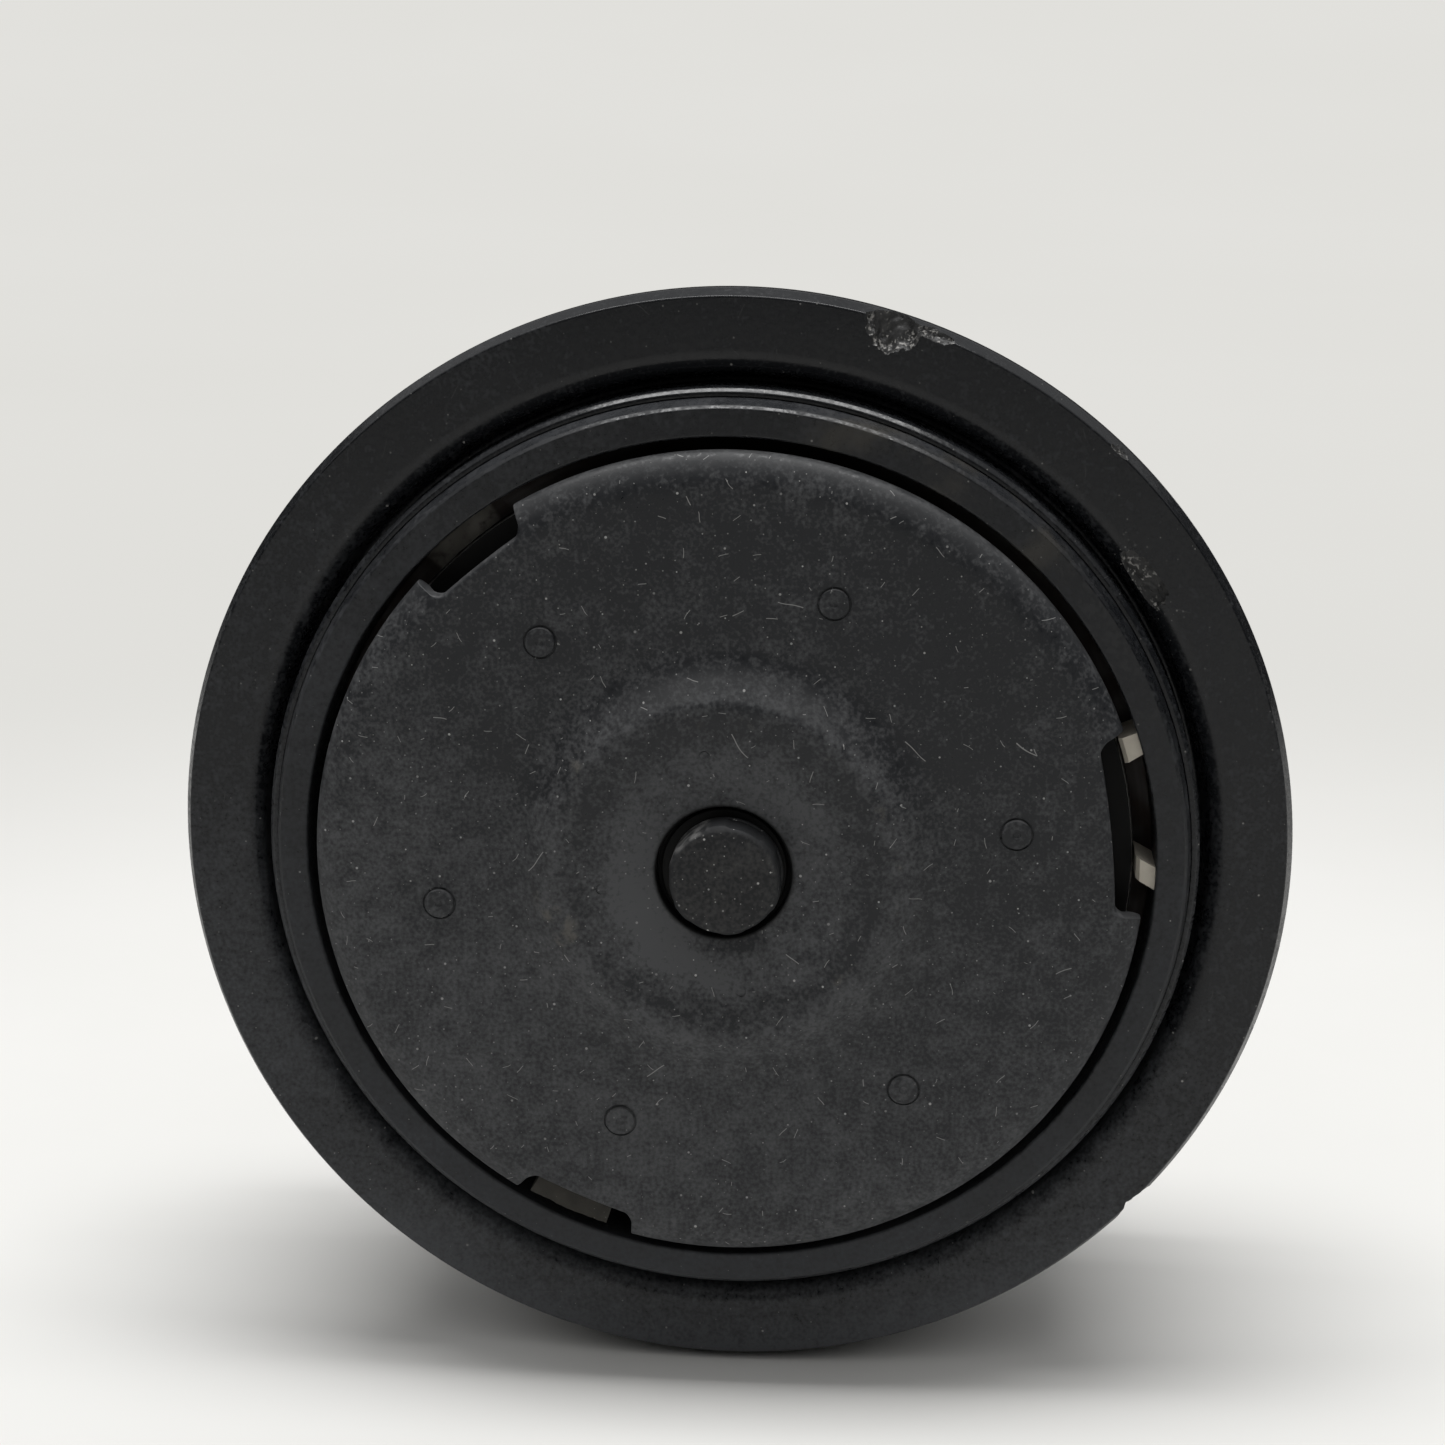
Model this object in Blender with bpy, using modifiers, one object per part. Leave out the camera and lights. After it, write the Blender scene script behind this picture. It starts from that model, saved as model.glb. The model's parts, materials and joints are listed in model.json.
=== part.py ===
"""Electromagnetic clutch with a poly-V belt pulley, about 108 mm across.

Every piece is turned or placed about one axis. The pieces are modelled with that axis along local Z,
front towards +Z and the rear face of the coil's mounting plate at zero. They hang on an empty that lays
the axis along the world's Y, so the front faces -Y and the world's origin is on the mounting plane.
"""
import math

import bmesh
import bpy
from mathutils import Matrix

MM = 0.001

# Clearances
SEAM = 0.3 * MM             # between pieces that touch
COIL_GAP = 0.4 * MM         # running gap on both sides of the coil
COIL_FRONT_GAP = 1.2 * MM   # coil to the back of the friction wall
AIR_GAP = 0.5 * MM          # rotor face to armature, clutch released
ARMATURE_SLACK = 1.8 * MM   # armature's edge to the shroud
ROTOR_REAR_GAP = 1.1 * MM   # coil snap ring to the rotor
PULLEY_REAR_GAP = 5.4 * MM  # mounting plate to the pulley
BOLT_HOLE_GAP = 0.63 * MM   # bolt head's corners to the cover

# Centre bolt and hub
BOLT_RADIUS = 2.95 * MM
BOLT_LENGTH = 12.0 * MM
BOLT_ACROSS_FLATS = 10.0 * MM
BOLT_HEAD_HEIGHT = 3.6 * MM
BOLT_CHAMFER = 0.9 * MM
BOLT_CORNER_CUT = 0.4 * MM  # turned off the hex corners
BOLT_TURN = math.radians(38.0)
WASHER_THICKNESS = 0.6 * MM
WASHER_INSET = 0.4 * MM
SHIM_THICKNESS = 0.4 * MM
SHAFT_RADIUS = 6.0 * MM
BOSS_WALL = 4.0 * MM
BOSS_LENGTH = 18.9 * MM
HUB_WEB = 2.0 * MM
HUB_NOSE = 2.2 * MM
HUB_PLATE_THICKNESS = 1.8 * MM
HUB_PLATE_INSET = 5.7 * MM

# Bearing, two rows of balls
BEARING_BORE = 17.5 * MM
BEARING_WIDTH = 20.0 * MM
RING_WALL = 2.9 * MM
BALL_RADIUS = 2.9 * MM
BALLS_PER_ROW = 8
RACE_DEPTH = 0.8 * MM
RACE_PLAY = 0.25 * MM
RACE_SEGMENTS = 4
CAGE_WALL = 1.8 * MM
CAGE_END_GAP = 0.4 * MM
SEAL_THICKNESS = 0.8 * MM
SEAL_END_GAP = 1.0 * MM

# Snap rings
SNAP_THICKNESS = 1.6 * MM
SNAP_LAND = 1.8 * MM
SNAP_DEPTH = 1.5 * MM
SNAP_REACH = 2.0 * MM
SNAP_OPENING = 8.0 * MM

# Rotor
ROTOR_INNER_WALL = 2.8 * MM
ROTOR_OUTER_WALL = 1.9 * MM
FRICTION_WALL = 4.3 * MM
BEARING_LIP = 3.2 * MM
LIP_REACH = 3.0 * MM
SHROUD_WALL = 3.6 * MM
SHROUD_OVERHANG = 3.2 * MM
SHROUD_CHAMFER = 0.5 * MM
FLUX_SLOT_WIDTH = 1.4 * MM
FLUX_SLOT_INSET = 2.4 * MM
FLUX_SLOT_ARC = math.radians(96.0)
FLUX_SLOTS = 3

# Moulded pulley
PULLEY_WEB = 3.4 * MM
GROOVES = 6
GROOVE_PITCH = 3.56 * MM
GROOVE_DEPTH = 2.9 * MM
GROOVE_ANGLE = math.radians(40.0)
GROOVE_ROOT = 0.6 * MM
FLANGE_HEIGHT = 3.3 * MM
FLANGE_RISE = 1.5 * MM
FLANGE_LAND = 1.5 * MM
FLANGE_TAPER = 1.4 * MM
FLANGE_DRAFT = 0.4 * MM
FLANGE_DISH = 1.7 * MM
FLANGE_KNEE = 3.5 * MM
FLANGE_KNEE_DEPTH = 0.5 * MM
REAR_FLANGE_HEIGHT = 0.5 * MM
REAR_FLANGE_WIDTH = 2.0 * MM
REAR_FLANGE_RISE = 0.8 * MM
COLLAR_WALL = 0.8 * MM
COLLAR_HEIGHT = 1.5 * MM
COLLAR_ROUND = 0.4 * MM
COVE_DEPTH = 4.0 * MM
COVE_WIDTH = 1.6 * MM
COVE_FLARE = 0.5 * MM
RIB_HEIGHT = 0.8 * MM
RIB_WIDTH = 3.0 * MM

# Coil
COIL_WALL = 1.5 * MM
COIL_CHANNEL = 7.9 * MM
BOBBIN_WALL = 0.9 * MM
BOBBIN_FLANGE = 1.0 * MM
POTTING_DEPTH = 1.8 * MM
PLATE_THICKNESS = 2.0 * MM
PLATE_LIP = 4.2 * MM
PLATE_RIM = 2.1 * MM
PIN_RADIUS = 1.5 * MM
PIN_LENGTH = 5.0 * MM
PIN_ANGLE = math.radians(320.0)
TERMINAL_ANGLE = math.radians(200.0)
BLOCK_WIDTH = 13.0 * MM
BLOCK_LENGTH = 7.0 * MM
BLOCK_HEIGHT = 4.5 * MM
BLOCK_BEVEL = 0.6 * MM
BLADE_WIDTH = 4.0 * MM
BLADE_THICKNESS = 0.8 * MM
BLADE_LENGTH = 7.0 * MM
BLADE_SEAT = 3.0 * MM
BLADE_SPACING = 6.0 * MM

# Armature, its springs and stops
ARMATURE_THICKNESS = 2.8 * MM
ARMATURE_WIDTH = 16.8 * MM
ARMATURE_SLOT_INSET = 3.0 * MM
SPRING_THICKNESS = 0.5 * MM
SPRING_HALF_WIDTH = 3.5 * MM
SPRINGS = 3
RIVET_EDGE = 5.2 * MM
RIVET_RADIUS = 1.6 * MM
RIVET_HEAD_RADIUS = 2.8 * MM
RIVET_HEAD_HEIGHT = 0.7 * MM
RIVET_WINDOW_GAP = 0.5 * MM
RUBBER_RADIUS = 2.2 * MM
RUBBER_HEAD_RADIUS = 3.4 * MM
RUBBER_HEAD_HEIGHT = 0.7 * MM
HUB_RIVET_ANGLE = math.radians(38.5)
ARMATURE_RIVET_ANGLE = math.radians(113.5)
RUBBER_ANGLE = math.radians(140.0)

# Front cover
COVER_EDGE_GAP = 0.9 * MM
COVER_WALL = 1.6 * MM
COVER_STANDOFF = 1.3 * MM
COVER_SINK = 0.4 * MM
COVER_RIM = 1.5 * MM
DOME_WIDTH = 3.5 * MM
DOME_SEGMENTS = 4
RIDGE_RADIUS = 16.0 * MM
RIDGE_WIDTH = 1.2 * MM
RIDGE_RISE = 1.1 * MM
RIDGE_SLOPE = 3.6 * MM
DISH_RADIUS = 11.9 * MM
DISH_RISE = 0.7 * MM
PIPS = 6
PIP_RADIUS = 1.4 * MM
PIP_HEIGHT = 0.3 * MM
PIP_INSET = 6.2 * MM
PIP_ANGLE = math.radians(8.5)
PEG_RADIUS = 1.6 * MM
NOTCH_DEPTH = 2.5 * MM
NOTCHES = ((-10.0, 17.0), (122.0, 139.5), (239.5, 257.5))  # start and end, degrees

# Facets
OUTER_STEPS = 36
INNER_STEPS = 32
SMALL_STEPS = 16
ROD_SIDES = 12
RIVET_SIDES = 10
ARC_POINTS = 8
MERGE = 0.00001
SHARP_ANGLE = math.radians(30.0)

# Radial stack, from the axis outwards
BOSS_RADIUS = SHAFT_RADIUS + BOSS_WALL
BOLT_CORNER = BOLT_ACROSS_FLATS / math.sqrt(3.0)
COVER_HOLE = BOLT_CORNER + BOLT_HOLE_GAP
BOLT_HOLE = BOLT_RADIUS + SEAM
INNER_RING_RADIUS = BEARING_BORE + RING_WALL
SHOULDER_OFFSET = BALL_RADIUS - RACE_DEPTH
BALL_PITCH_RADIUS = INNER_RING_RADIUS + SHOULDER_OFFSET
OUTER_RING_BORE = BALL_PITCH_RADIUS + SHOULDER_OFFSET
BEARING_RADIUS = OUTER_RING_BORE + RING_WALL
ROTOR_BORE = BEARING_RADIUS + SEAM
ROTOR_INNER = ROTOR_BORE + ROTOR_INNER_WALL
COIL_INNER = ROTOR_INNER + COIL_GAP
CHANNEL_INNER = COIL_INNER + COIL_WALL
CHANNEL_OUTER = CHANNEL_INNER + COIL_CHANNEL
COIL_OUTER = CHANNEL_OUTER + COIL_WALL
ROTOR_CAVITY = COIL_OUTER + COIL_GAP
ROTOR_RADIUS = ROTOR_CAVITY + ROTOR_OUTER_WALL
PULLEY_BORE = ROTOR_RADIUS + SEAM
GROOVE_ROOT_RADIUS = PULLEY_BORE + PULLEY_WEB
BELT_RADIUS = GROOVE_ROOT_RADIUS + GROOVE_DEPTH
FLANGE_RADIUS = BELT_RADIUS + FLANGE_HEIGHT
REAR_FLANGE_RADIUS = BELT_RADIUS + REAR_FLANGE_HEIGHT
SHROUD_BORE = ROTOR_RADIUS - SHROUD_WALL
ARMATURE_RADIUS = SHROUD_BORE - ARMATURE_SLACK
ARMATURE_BORE = ARMATURE_RADIUS - ARMATURE_WIDTH
COVER_RADIUS = SHROUD_BORE - COVER_EDGE_GAP
HUB_PLATE_RADIUS = COVER_RADIUS - HUB_PLATE_INSET
RIVET_CIRCLE = HUB_PLATE_RADIUS - RIVET_EDGE
PEG_CIRCLE = HUB_PLATE_RADIUS - PIP_INSET
PLATE_BORE = COIL_INNER - PLATE_LIP
PLATE_RADIUS = COIL_OUTER + PLATE_RIM

# Axial stack, from the mounting plane to the bolt's face
COIL_REAR = PLATE_THICKNESS + SEAM
ROTOR_REAR = COIL_REAR + SNAP_THICKNESS + ROTOR_REAR_GAP
SNAP_GROOVE_REAR = ROTOR_REAR + SNAP_LAND
BEARING_REAR = SNAP_GROOVE_REAR + SEAM + SNAP_THICKNESS + SEAM
BEARING_FRONT = BEARING_REAR + BEARING_WIDTH
BEARING_CENTRE = (BEARING_REAR + BEARING_FRONT) / 2
LIP_REAR = BEARING_FRONT + SEAM
FRICTION_FACE = LIP_REAR + BEARING_LIP
FRICTION_BACK = FRICTION_FACE - FRICTION_WALL
COIL_FRONT = FRICTION_BACK - COIL_FRONT_GAP
ARMATURE_REAR = FRICTION_FACE + AIR_GAP
ARMATURE_FRONT = ARMATURE_REAR + ARMATURE_THICKNESS
SHROUD_FRONT = ARMATURE_FRONT + SHROUD_OVERHANG
SPRING_REAR = ARMATURE_FRONT + SEAM
SPRING_FRONT = SPRING_REAR + SPRING_THICKNESS
HUB_PLATE_REAR = SPRING_FRONT + SEAM
HUB_PLATE_FRONT = HUB_PLATE_REAR + HUB_PLATE_THICKNESS
HUB_FRONT = HUB_PLATE_FRONT + HUB_NOSE
HUB_REAR = HUB_FRONT - BOSS_LENGTH
WASHER_REAR = HUB_FRONT + SEAM
BOLT_SEAT = WASHER_REAR + WASHER_THICKNESS + SEAM
BOLT_FACE = BOLT_SEAT + BOLT_HEAD_HEIGHT
COVER_INSIDE = HUB_PLATE_FRONT + COVER_STANDOFF
COVER_FLAT = COVER_INSIDE + COVER_WALL
COVER_EDGE_REAR = SHROUD_FRONT - COVER_SINK
COVER_EDGE_FRONT = COVER_EDGE_REAR + COVER_RIM
PULLEY_REAR = PLATE_THICKNESS + PULLEY_REAR_GAP
BELT_REAR = PULLEY_REAR + REAR_FLANGE_WIDTH
BELT_FRONT = BELT_REAR + GROOVES * GROOVE_PITCH
FLANGE_BACK = BELT_FRONT + FLANGE_RISE
FLANGE_EDGE = FLANGE_BACK + FLANGE_LAND
FLANGE_FRONT = FLANGE_EDGE + FLANGE_TAPER
COLLAR_FRONT = FLANGE_FRONT + COLLAR_HEIGHT


def polar(radius, angle):
    """Point in the local XY plane."""
    return radius * math.cos(angle), radius * math.sin(angle)


def spread(first_angle, count):
    """Angles of a pattern that is even around the axis."""
    return [first_angle + i * math.tau / count for i in range(count)]


def arc(radius, start, end, points):
    """Points along an arc about the axis."""
    step = (end - start) / (points - 1)
    return [polar(radius, start + i * step) for i in range(points)]


def sector(inner, outer, start, end):
    """Closed outline of a curved slot."""
    return arc(inner, start, end, ARC_POINTS) + arc(outer, end, start, ARC_POINTS)


def ring(inner, outer, low, high):
    """Profile of a plain ring."""
    return [(inner, high), (outer, high), (outer, low), (inner, low)]


def shade(mesh):
    """Smooth round faces and keep real edges sharp."""
    mesh.shade_smooth()
    mesh.set_sharp_from_angle(angle=SHARP_ANGLE)
    return mesh


def evaluated_mesh(blank):
    """Mesh of an object with its modifiers applied. The object is removed."""
    bpy.context.scene.collection.objects.link(blank)
    graph = bpy.context.evaluated_depsgraph_get()
    mesh = bpy.data.meshes.new_from_object(blank.evaluated_get(graph))
    bpy.data.objects.remove(blank)
    return mesh


def turned(profile, steps, reaches_axis=False):
    """Turn a profile of (radius, height) points about Z. A profile runs down its outer side."""
    count = len(profile)
    links = count - 1 if reaches_axis else count
    wire = bpy.data.meshes.new("turned")
    wire.from_pydata(
        [(radius, 0.0, height) for radius, height in profile],
        [(i, (i + 1) % count) for i in range(links)],
        [],
    )
    blank = bpy.data.objects.new("turned", wire)
    screw = blank.modifiers.new("Turn", 'SCREW')
    screw.steps = steps
    screw.render_steps = steps
    screw.use_merge_vertices = True
    screw.merge_threshold = MERGE
    return shade(evaluated_mesh(blank))


def flat_plate(outlines, low, high):
    """Plate cut to an outline. Outlines after the first are its holes or further plates."""
    curve = bpy.data.curves.new("outline", 'CURVE')
    curve.dimensions = '2D'
    curve.fill_mode = 'BOTH'
    curve.extrude = (high - low) / 2
    for outline in outlines:
        spline = curve.splines.new('POLY')
        spline.points.add(len(outline) - 1)
        spline.use_cyclic_u = True
        for point, (x, y) in zip(spline.points, outline):
            point.co = (x, y, 0.0, 1.0)
    mesh = evaluated_mesh(bpy.data.objects.new("outline", curve))
    work = bmesh.new()
    work.from_mesh(mesh)
    bmesh.ops.remove_doubles(work, verts=work.verts, dist=MERGE)
    bmesh.ops.recalc_face_normals(work, faces=work.faces)
    bmesh.ops.translate(work, verts=work.verts, vec=(0.0, 0.0, (low + high) / 2))
    work.to_mesh(mesh)
    work.free()
    return shade(mesh)


def rods(places, radius, low, high, sides=ROD_SIDES):
    """Upright cylinders at (x, y) places, in one mesh."""
    mesh = bpy.data.meshes.new("rods")
    work = bmesh.new()
    for x, y in places:
        bmesh.ops.create_cone(
            work, cap_ends=True, segments=sides, radius1=radius, radius2=radius,
            depth=high - low, matrix=Matrix.Translation((x, y, (low + high) / 2)),
        )
    work.to_mesh(mesh)
    work.free()
    return shade(mesh)


def block(size, angle, middle_radius, offset, middle_height):
    """Box with its length along a radius. The offset is across that radius."""
    mesh = bpy.data.meshes.new("block")
    work = bmesh.new()
    turn = Matrix.Rotation(angle, 4, 'Z')
    place = Matrix.Translation((middle_radius, offset, middle_height))
    bmesh.ops.create_cube(work, size=1.0, matrix=turn @ place @ Matrix.Diagonal((*size, 1.0)))
    work.to_mesh(mesh)
    work.free()
    return mesh


def material(name, colour, roughness, metallic=0.0):
    """Principled material of one colour."""
    finish = bpy.data.materials.new(name)
    finish.use_nodes = True
    shader = finish.node_tree.nodes["Principled BSDF"]
    shader.inputs["Base Color"].default_value = (*colour, 1.0)
    shader.inputs["Roughness"].default_value = roughness
    shader.inputs["Metallic"].default_value = metallic
    return finish


class Clutch:
    """The collections, the axis and the materials that every piece shares."""

    def __init__(self):
        self.parts = bpy.data.collections.new("electromagnetic_clutch")
        self.cutters = bpy.data.collections.new("cutters")
        for collection in (self.parts, self.cutters):
            bpy.context.scene.collection.children.link(collection)
        self.axis = bpy.data.objects.new("clutch_axis", None)
        self.axis.rotation_euler = (math.radians(90.0), 0.0, 0.0)
        self.parts.objects.link(self.axis)

    def part(self, name, mesh, colour, roughness, metallic=0.0):
        """A named piece with a material of its own."""
        piece = bpy.data.objects.new(name, mesh)
        piece.data.materials.clear()
        piece.data.materials.append(material(name, colour, roughness, metallic))
        piece.parent = self.axis
        self.parts.objects.link(piece)
        return piece

    def shape(self, piece, label, mesh, operation='DIFFERENCE'):
        """Cut a piece with a mesh, or join or intersect them."""
        cutter = bpy.data.objects.new(piece.name + "_" + label, mesh)
        cutter.parent = self.axis
        cutter.hide_render = True
        cutter.display_type = 'WIRE'
        self.cutters.objects.link(cutter)
        boolean = piece.modifiers.new(label, 'BOOLEAN')
        boolean.operation = operation
        boolean.object = cutter


MOULDED_BLACK = (0.022, 0.022, 0.023)
COVER_BLACK = (0.030, 0.030, 0.030)
PAINTED_BLACK = (0.020, 0.020, 0.021)
STEEL = (0.42, 0.41, 0.40)
DARK_STEEL = (0.16, 0.155, 0.15)
BEARING_STEEL = (0.55, 0.55, 0.56)
ZINC = (0.50, 0.49, 0.45)
SPRING_STEEL = (0.30, 0.31, 0.33)
COPPER = (0.55, 0.22, 0.09)
EPOXY = (0.16, 0.08, 0.04)
NYLON = (0.55, 0.50, 0.40)
RUBBER = (0.025, 0.025, 0.025)
BRASS = (0.60, 0.47, 0.24)


def build_coil(clutch):
    """Steel channel on its mounting plate, with bobbin, winding and potting inside."""
    shell = [
        (COIL_INNER, COIL_FRONT), (CHANNEL_INNER, COIL_FRONT),
        (CHANNEL_INNER, COIL_REAR + COIL_WALL), (CHANNEL_OUTER, COIL_REAR + COIL_WALL),
        (CHANNEL_OUTER, COIL_FRONT), (COIL_OUTER, COIL_FRONT),
        (COIL_OUTER, COIL_REAR), (COIL_INNER, COIL_REAR),
    ]
    clutch.part("coil_shell", turned(shell, INNER_STEPS), DARK_STEEL, 0.55, 0.8)

    inner = CHANNEL_INNER + SEAM
    outer = CHANNEL_OUTER - SEAM
    tube = inner + BOBBIN_WALL
    rear = COIL_REAR + COIL_WALL + SEAM
    potting_rear = COIL_FRONT - SEAM - POTTING_DEPTH
    front = potting_rear - SEAM
    bobbin = [
        (inner, front), (outer, front), (outer, front - BOBBIN_FLANGE), (tube, front - BOBBIN_FLANGE),
        (tube, rear + BOBBIN_FLANGE), (outer, rear + BOBBIN_FLANGE), (outer, rear), (inner, rear),
    ]
    clutch.part("coil_bobbin", turned(bobbin, INNER_STEPS), NYLON, 0.5)
    winding = ring(tube + SEAM, outer - SEAM, rear + BOBBIN_FLANGE + SEAM, front - BOBBIN_FLANGE - SEAM)
    clutch.part("coil_winding", turned(winding, INNER_STEPS), COPPER, 0.35, 0.9)
    potting = ring(inner, outer, potting_rear, COIL_FRONT - SEAM)
    clutch.part("coil_potting", turned(potting, INNER_STEPS), EPOXY, 0.3)


def build_mounting_plate(clutch):
    """Plate that locates the coil on the compressor, its pin, snap ring and terminals."""
    plate_profile = ring(PLATE_BORE, PLATE_RADIUS, 0.0, PLATE_THICKNESS)
    plate = clutch.part("coil_mounting_plate", turned(plate_profile, INNER_STEPS), ZINC, 0.45, 0.9)
    pin_circle = (COIL_INNER + COIL_OUTER) / 2
    pin_place = [polar(pin_circle, PIN_ANGLE)]
    pin_hole = rods(pin_place, PIN_RADIUS + SEAM, -PLATE_THICKNESS, 2 * PLATE_THICKNESS)
    clutch.shape(plate, "pin_hole", pin_hole)
    pin = rods(pin_place, PIN_RADIUS, PLATE_THICKNESS - PIN_LENGTH, PLATE_THICKNESS)
    clutch.part("locating_pin", pin, STEEL, 0.3, 1.0)
    coil_snap = ring(PLATE_BORE - SEAM, COIL_INNER - COIL_GAP, COIL_REAR, COIL_REAR + SNAP_THICKNESS)
    add_snap_ring(clutch, "coil_snap_ring", coil_snap, math.radians(90.0))

    block_front = -SEAM
    block_middle = PLATE_RADIUS + SEAM - BLOCK_LENGTH / 2
    block_height = block_front - BLOCK_HEIGHT / 2
    size = (BLOCK_LENGTH, BLOCK_WIDTH, BLOCK_HEIGHT)
    body = block(size, TERMINAL_ANGLE, block_middle, 0.0, block_height)
    terminal_block = clutch.part("terminal_block", body, MOULDED_BLACK, 0.5)
    bevel = terminal_block.modifiers.new("Bevel", 'BEVEL')
    bevel.width = BLOCK_BEVEL
    bevel.segments = 2
    block_end = block_middle + BLOCK_LENGTH / 2
    blade_start = block_end - BLADE_SEAT + SEAM
    for number, side in ((1, -1), (2, 1)):
        offset = side * BLADE_SPACING / 2
        seat_size = (2 * BLADE_SEAT, BLADE_WIDTH + 2 * SEAM, BLADE_THICKNESS + 2 * SEAM)
        seat = block(seat_size, TERMINAL_ANGLE, block_end, offset, block_height)
        clutch.shape(terminal_block, f"seat_{number}", seat)
        blade_size = (BLADE_LENGTH, BLADE_WIDTH, BLADE_THICKNESS)
        blade_middle = blade_start + BLADE_LENGTH / 2
        blade = block(blade_size, TERMINAL_ANGLE, blade_middle, offset, block_height)
        clutch.part(f"terminal_{number}", blade, BRASS, 0.35, 1.0)


def add_snap_ring(clutch, name, profile, angle):
    """Flat spring ring with an opening."""
    snap = clutch.part(name, turned(profile, INNER_STEPS), SPRING_STEEL, 0.35, 1.0)
    (inner, high), (outer, _), (_, low), _ = profile
    size = (2 * (outer - inner), SNAP_OPENING, 2 * (high - low))
    gap = block(size, angle, (inner + outer) / 2, 0.0, (low + high) / 2)
    clutch.shape(snap, "opening", gap)


def race(row_height, side):
    """Groove for one row of balls, from its front shoulder to its rear one."""
    radius = BALL_RADIUS + RACE_PLAY
    half = math.acos(SHOULDER_OFFSET / radius)
    angles = [half - i * 2 * half / RACE_SEGMENTS for i in range(RACE_SEGMENTS + 1)]
    return [
        (BALL_PITCH_RADIUS + side * radius * math.cos(angle), row_height + radius * math.sin(angle))
        for angle in angles
    ]


def build_bearing(clutch):
    """Two-row ball bearing between the compressor's nose and the rotor."""
    row_offset = BEARING_WIDTH / 2 - SEAM - SEAL_THICKNESS - SEAL_END_GAP - BALL_RADIUS
    rows = {"front": BEARING_CENTRE + row_offset, "rear": BEARING_CENTRE - row_offset}
    inner_races = race(rows["front"], -1) + race(rows["rear"], -1)
    inner_ring = [
        (BEARING_BORE, BEARING_FRONT), (INNER_RING_RADIUS, BEARING_FRONT), *inner_races,
        (INNER_RING_RADIUS, BEARING_REAR), (BEARING_BORE, BEARING_REAR),
    ]
    clutch.part("bearing_inner_ring", turned(inner_ring, INNER_STEPS), BEARING_STEEL, 0.2, 1.0)
    outer_races = race(rows["front"], 1) + race(rows["rear"], 1)
    outer_ring = [
        (OUTER_RING_BORE, BEARING_FRONT), (BEARING_RADIUS, BEARING_FRONT),
        (BEARING_RADIUS, BEARING_REAR), (OUTER_RING_BORE, BEARING_REAR), *reversed(outer_races),
    ]
    clutch.part("bearing_outer_ring", turned(outer_ring, INNER_STEPS), BEARING_STEEL, 0.2, 1.0)

    seal_inner = INNER_RING_RADIUS + SEAM
    seal_outer = OUTER_RING_BORE - SEAM
    front_seal_rear = BEARING_FRONT - SEAM - SEAL_THICKNESS
    rear_seal_front = BEARING_REAR + SEAM + SEAL_THICKNESS
    front_seal = ring(seal_inner, seal_outer, front_seal_rear, BEARING_FRONT - SEAM)
    rear_seal = ring(seal_inner, seal_outer, BEARING_REAR + SEAM, rear_seal_front)
    clutch.part("bearing_seal_front", turned(front_seal, INNER_STEPS), RUBBER, 0.6)
    clutch.part("bearing_seal_rear", turned(rear_seal, INNER_STEPS), RUBBER, 0.6)

    cage_profile = ring(
        BALL_PITCH_RADIUS - CAGE_WALL / 2, BALL_PITCH_RADIUS + CAGE_WALL / 2,
        rear_seal_front + CAGE_END_GAP, front_seal_rear - CAGE_END_GAP,
    )
    cage = clutch.part("bearing_cage", turned(cage_profile, INNER_STEPS), NYLON, 0.5)
    half_step = math.pi / BALLS_PER_ROW
    pockets = bmesh.new()
    for row, first_angle in (("front", 0.0), ("rear", half_step)):
        for number, angle in enumerate(spread(first_angle, BALLS_PER_ROW), start=1):
            add_ball(clutch, f"bearing_ball_{row}_{number}", angle, rows[row])
            cut_pocket(pockets, angle, rows[row])
    pocket_mesh = bpy.data.meshes.new("pockets")
    pockets.to_mesh(pocket_mesh)
    pockets.free()
    clutch.shape(cage, "pockets", pocket_mesh)


def add_ball(clutch, name, angle, height):
    """One bearing ball, with its mesh about the clutch's axis."""
    mesh = bpy.data.meshes.new(name)
    work = bmesh.new()
    place = Matrix.Translation((*polar(BALL_PITCH_RADIUS, angle), height))
    bmesh.ops.create_icosphere(work, subdivisions=2, radius=BALL_RADIUS, matrix=place)
    work.to_mesh(mesh)
    work.free()
    mesh.shade_smooth()
    clutch.part(name, mesh, BEARING_STEEL, 0.1, 1.0)


def cut_pocket(work, angle, height):
    """Add the radial cylinder that makes a ball's room in the cage."""
    turn = Matrix.Rotation(angle, 4, 'Z')
    place = Matrix.Translation((BALL_PITCH_RADIUS, 0.0, height))
    lie_down = Matrix.Rotation(math.radians(90.0), 4, 'Y')
    radius = BALL_RADIUS + SEAM
    bmesh.ops.create_cone(
        work, cap_ends=True, segments=RIVET_SIDES, radius1=radius, radius2=radius,
        depth=3 * CAGE_WALL, matrix=turn @ place @ lie_down,
    )


def build_bearing_rings(clutch):
    """Snap rings that hold the bearing in the rotor and on the nose."""
    rear = BEARING_REAR - SEAM - SNAP_THICKNESS
    in_rotor = ring(BEARING_RADIUS - SNAP_REACH, ROTOR_BORE + SNAP_DEPTH - SEAM, rear, rear + SNAP_THICKNESS)
    add_snap_ring(clutch, "bearing_snap_ring", in_rotor, math.radians(270.0))
    front = LIP_REAR + SNAP_THICKNESS
    on_nose = ring(BEARING_BORE - SEAM, INNER_RING_RADIUS, LIP_REAR, front)
    add_snap_ring(clutch, "nose_snap_ring", on_nose, math.radians(90.0))


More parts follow.
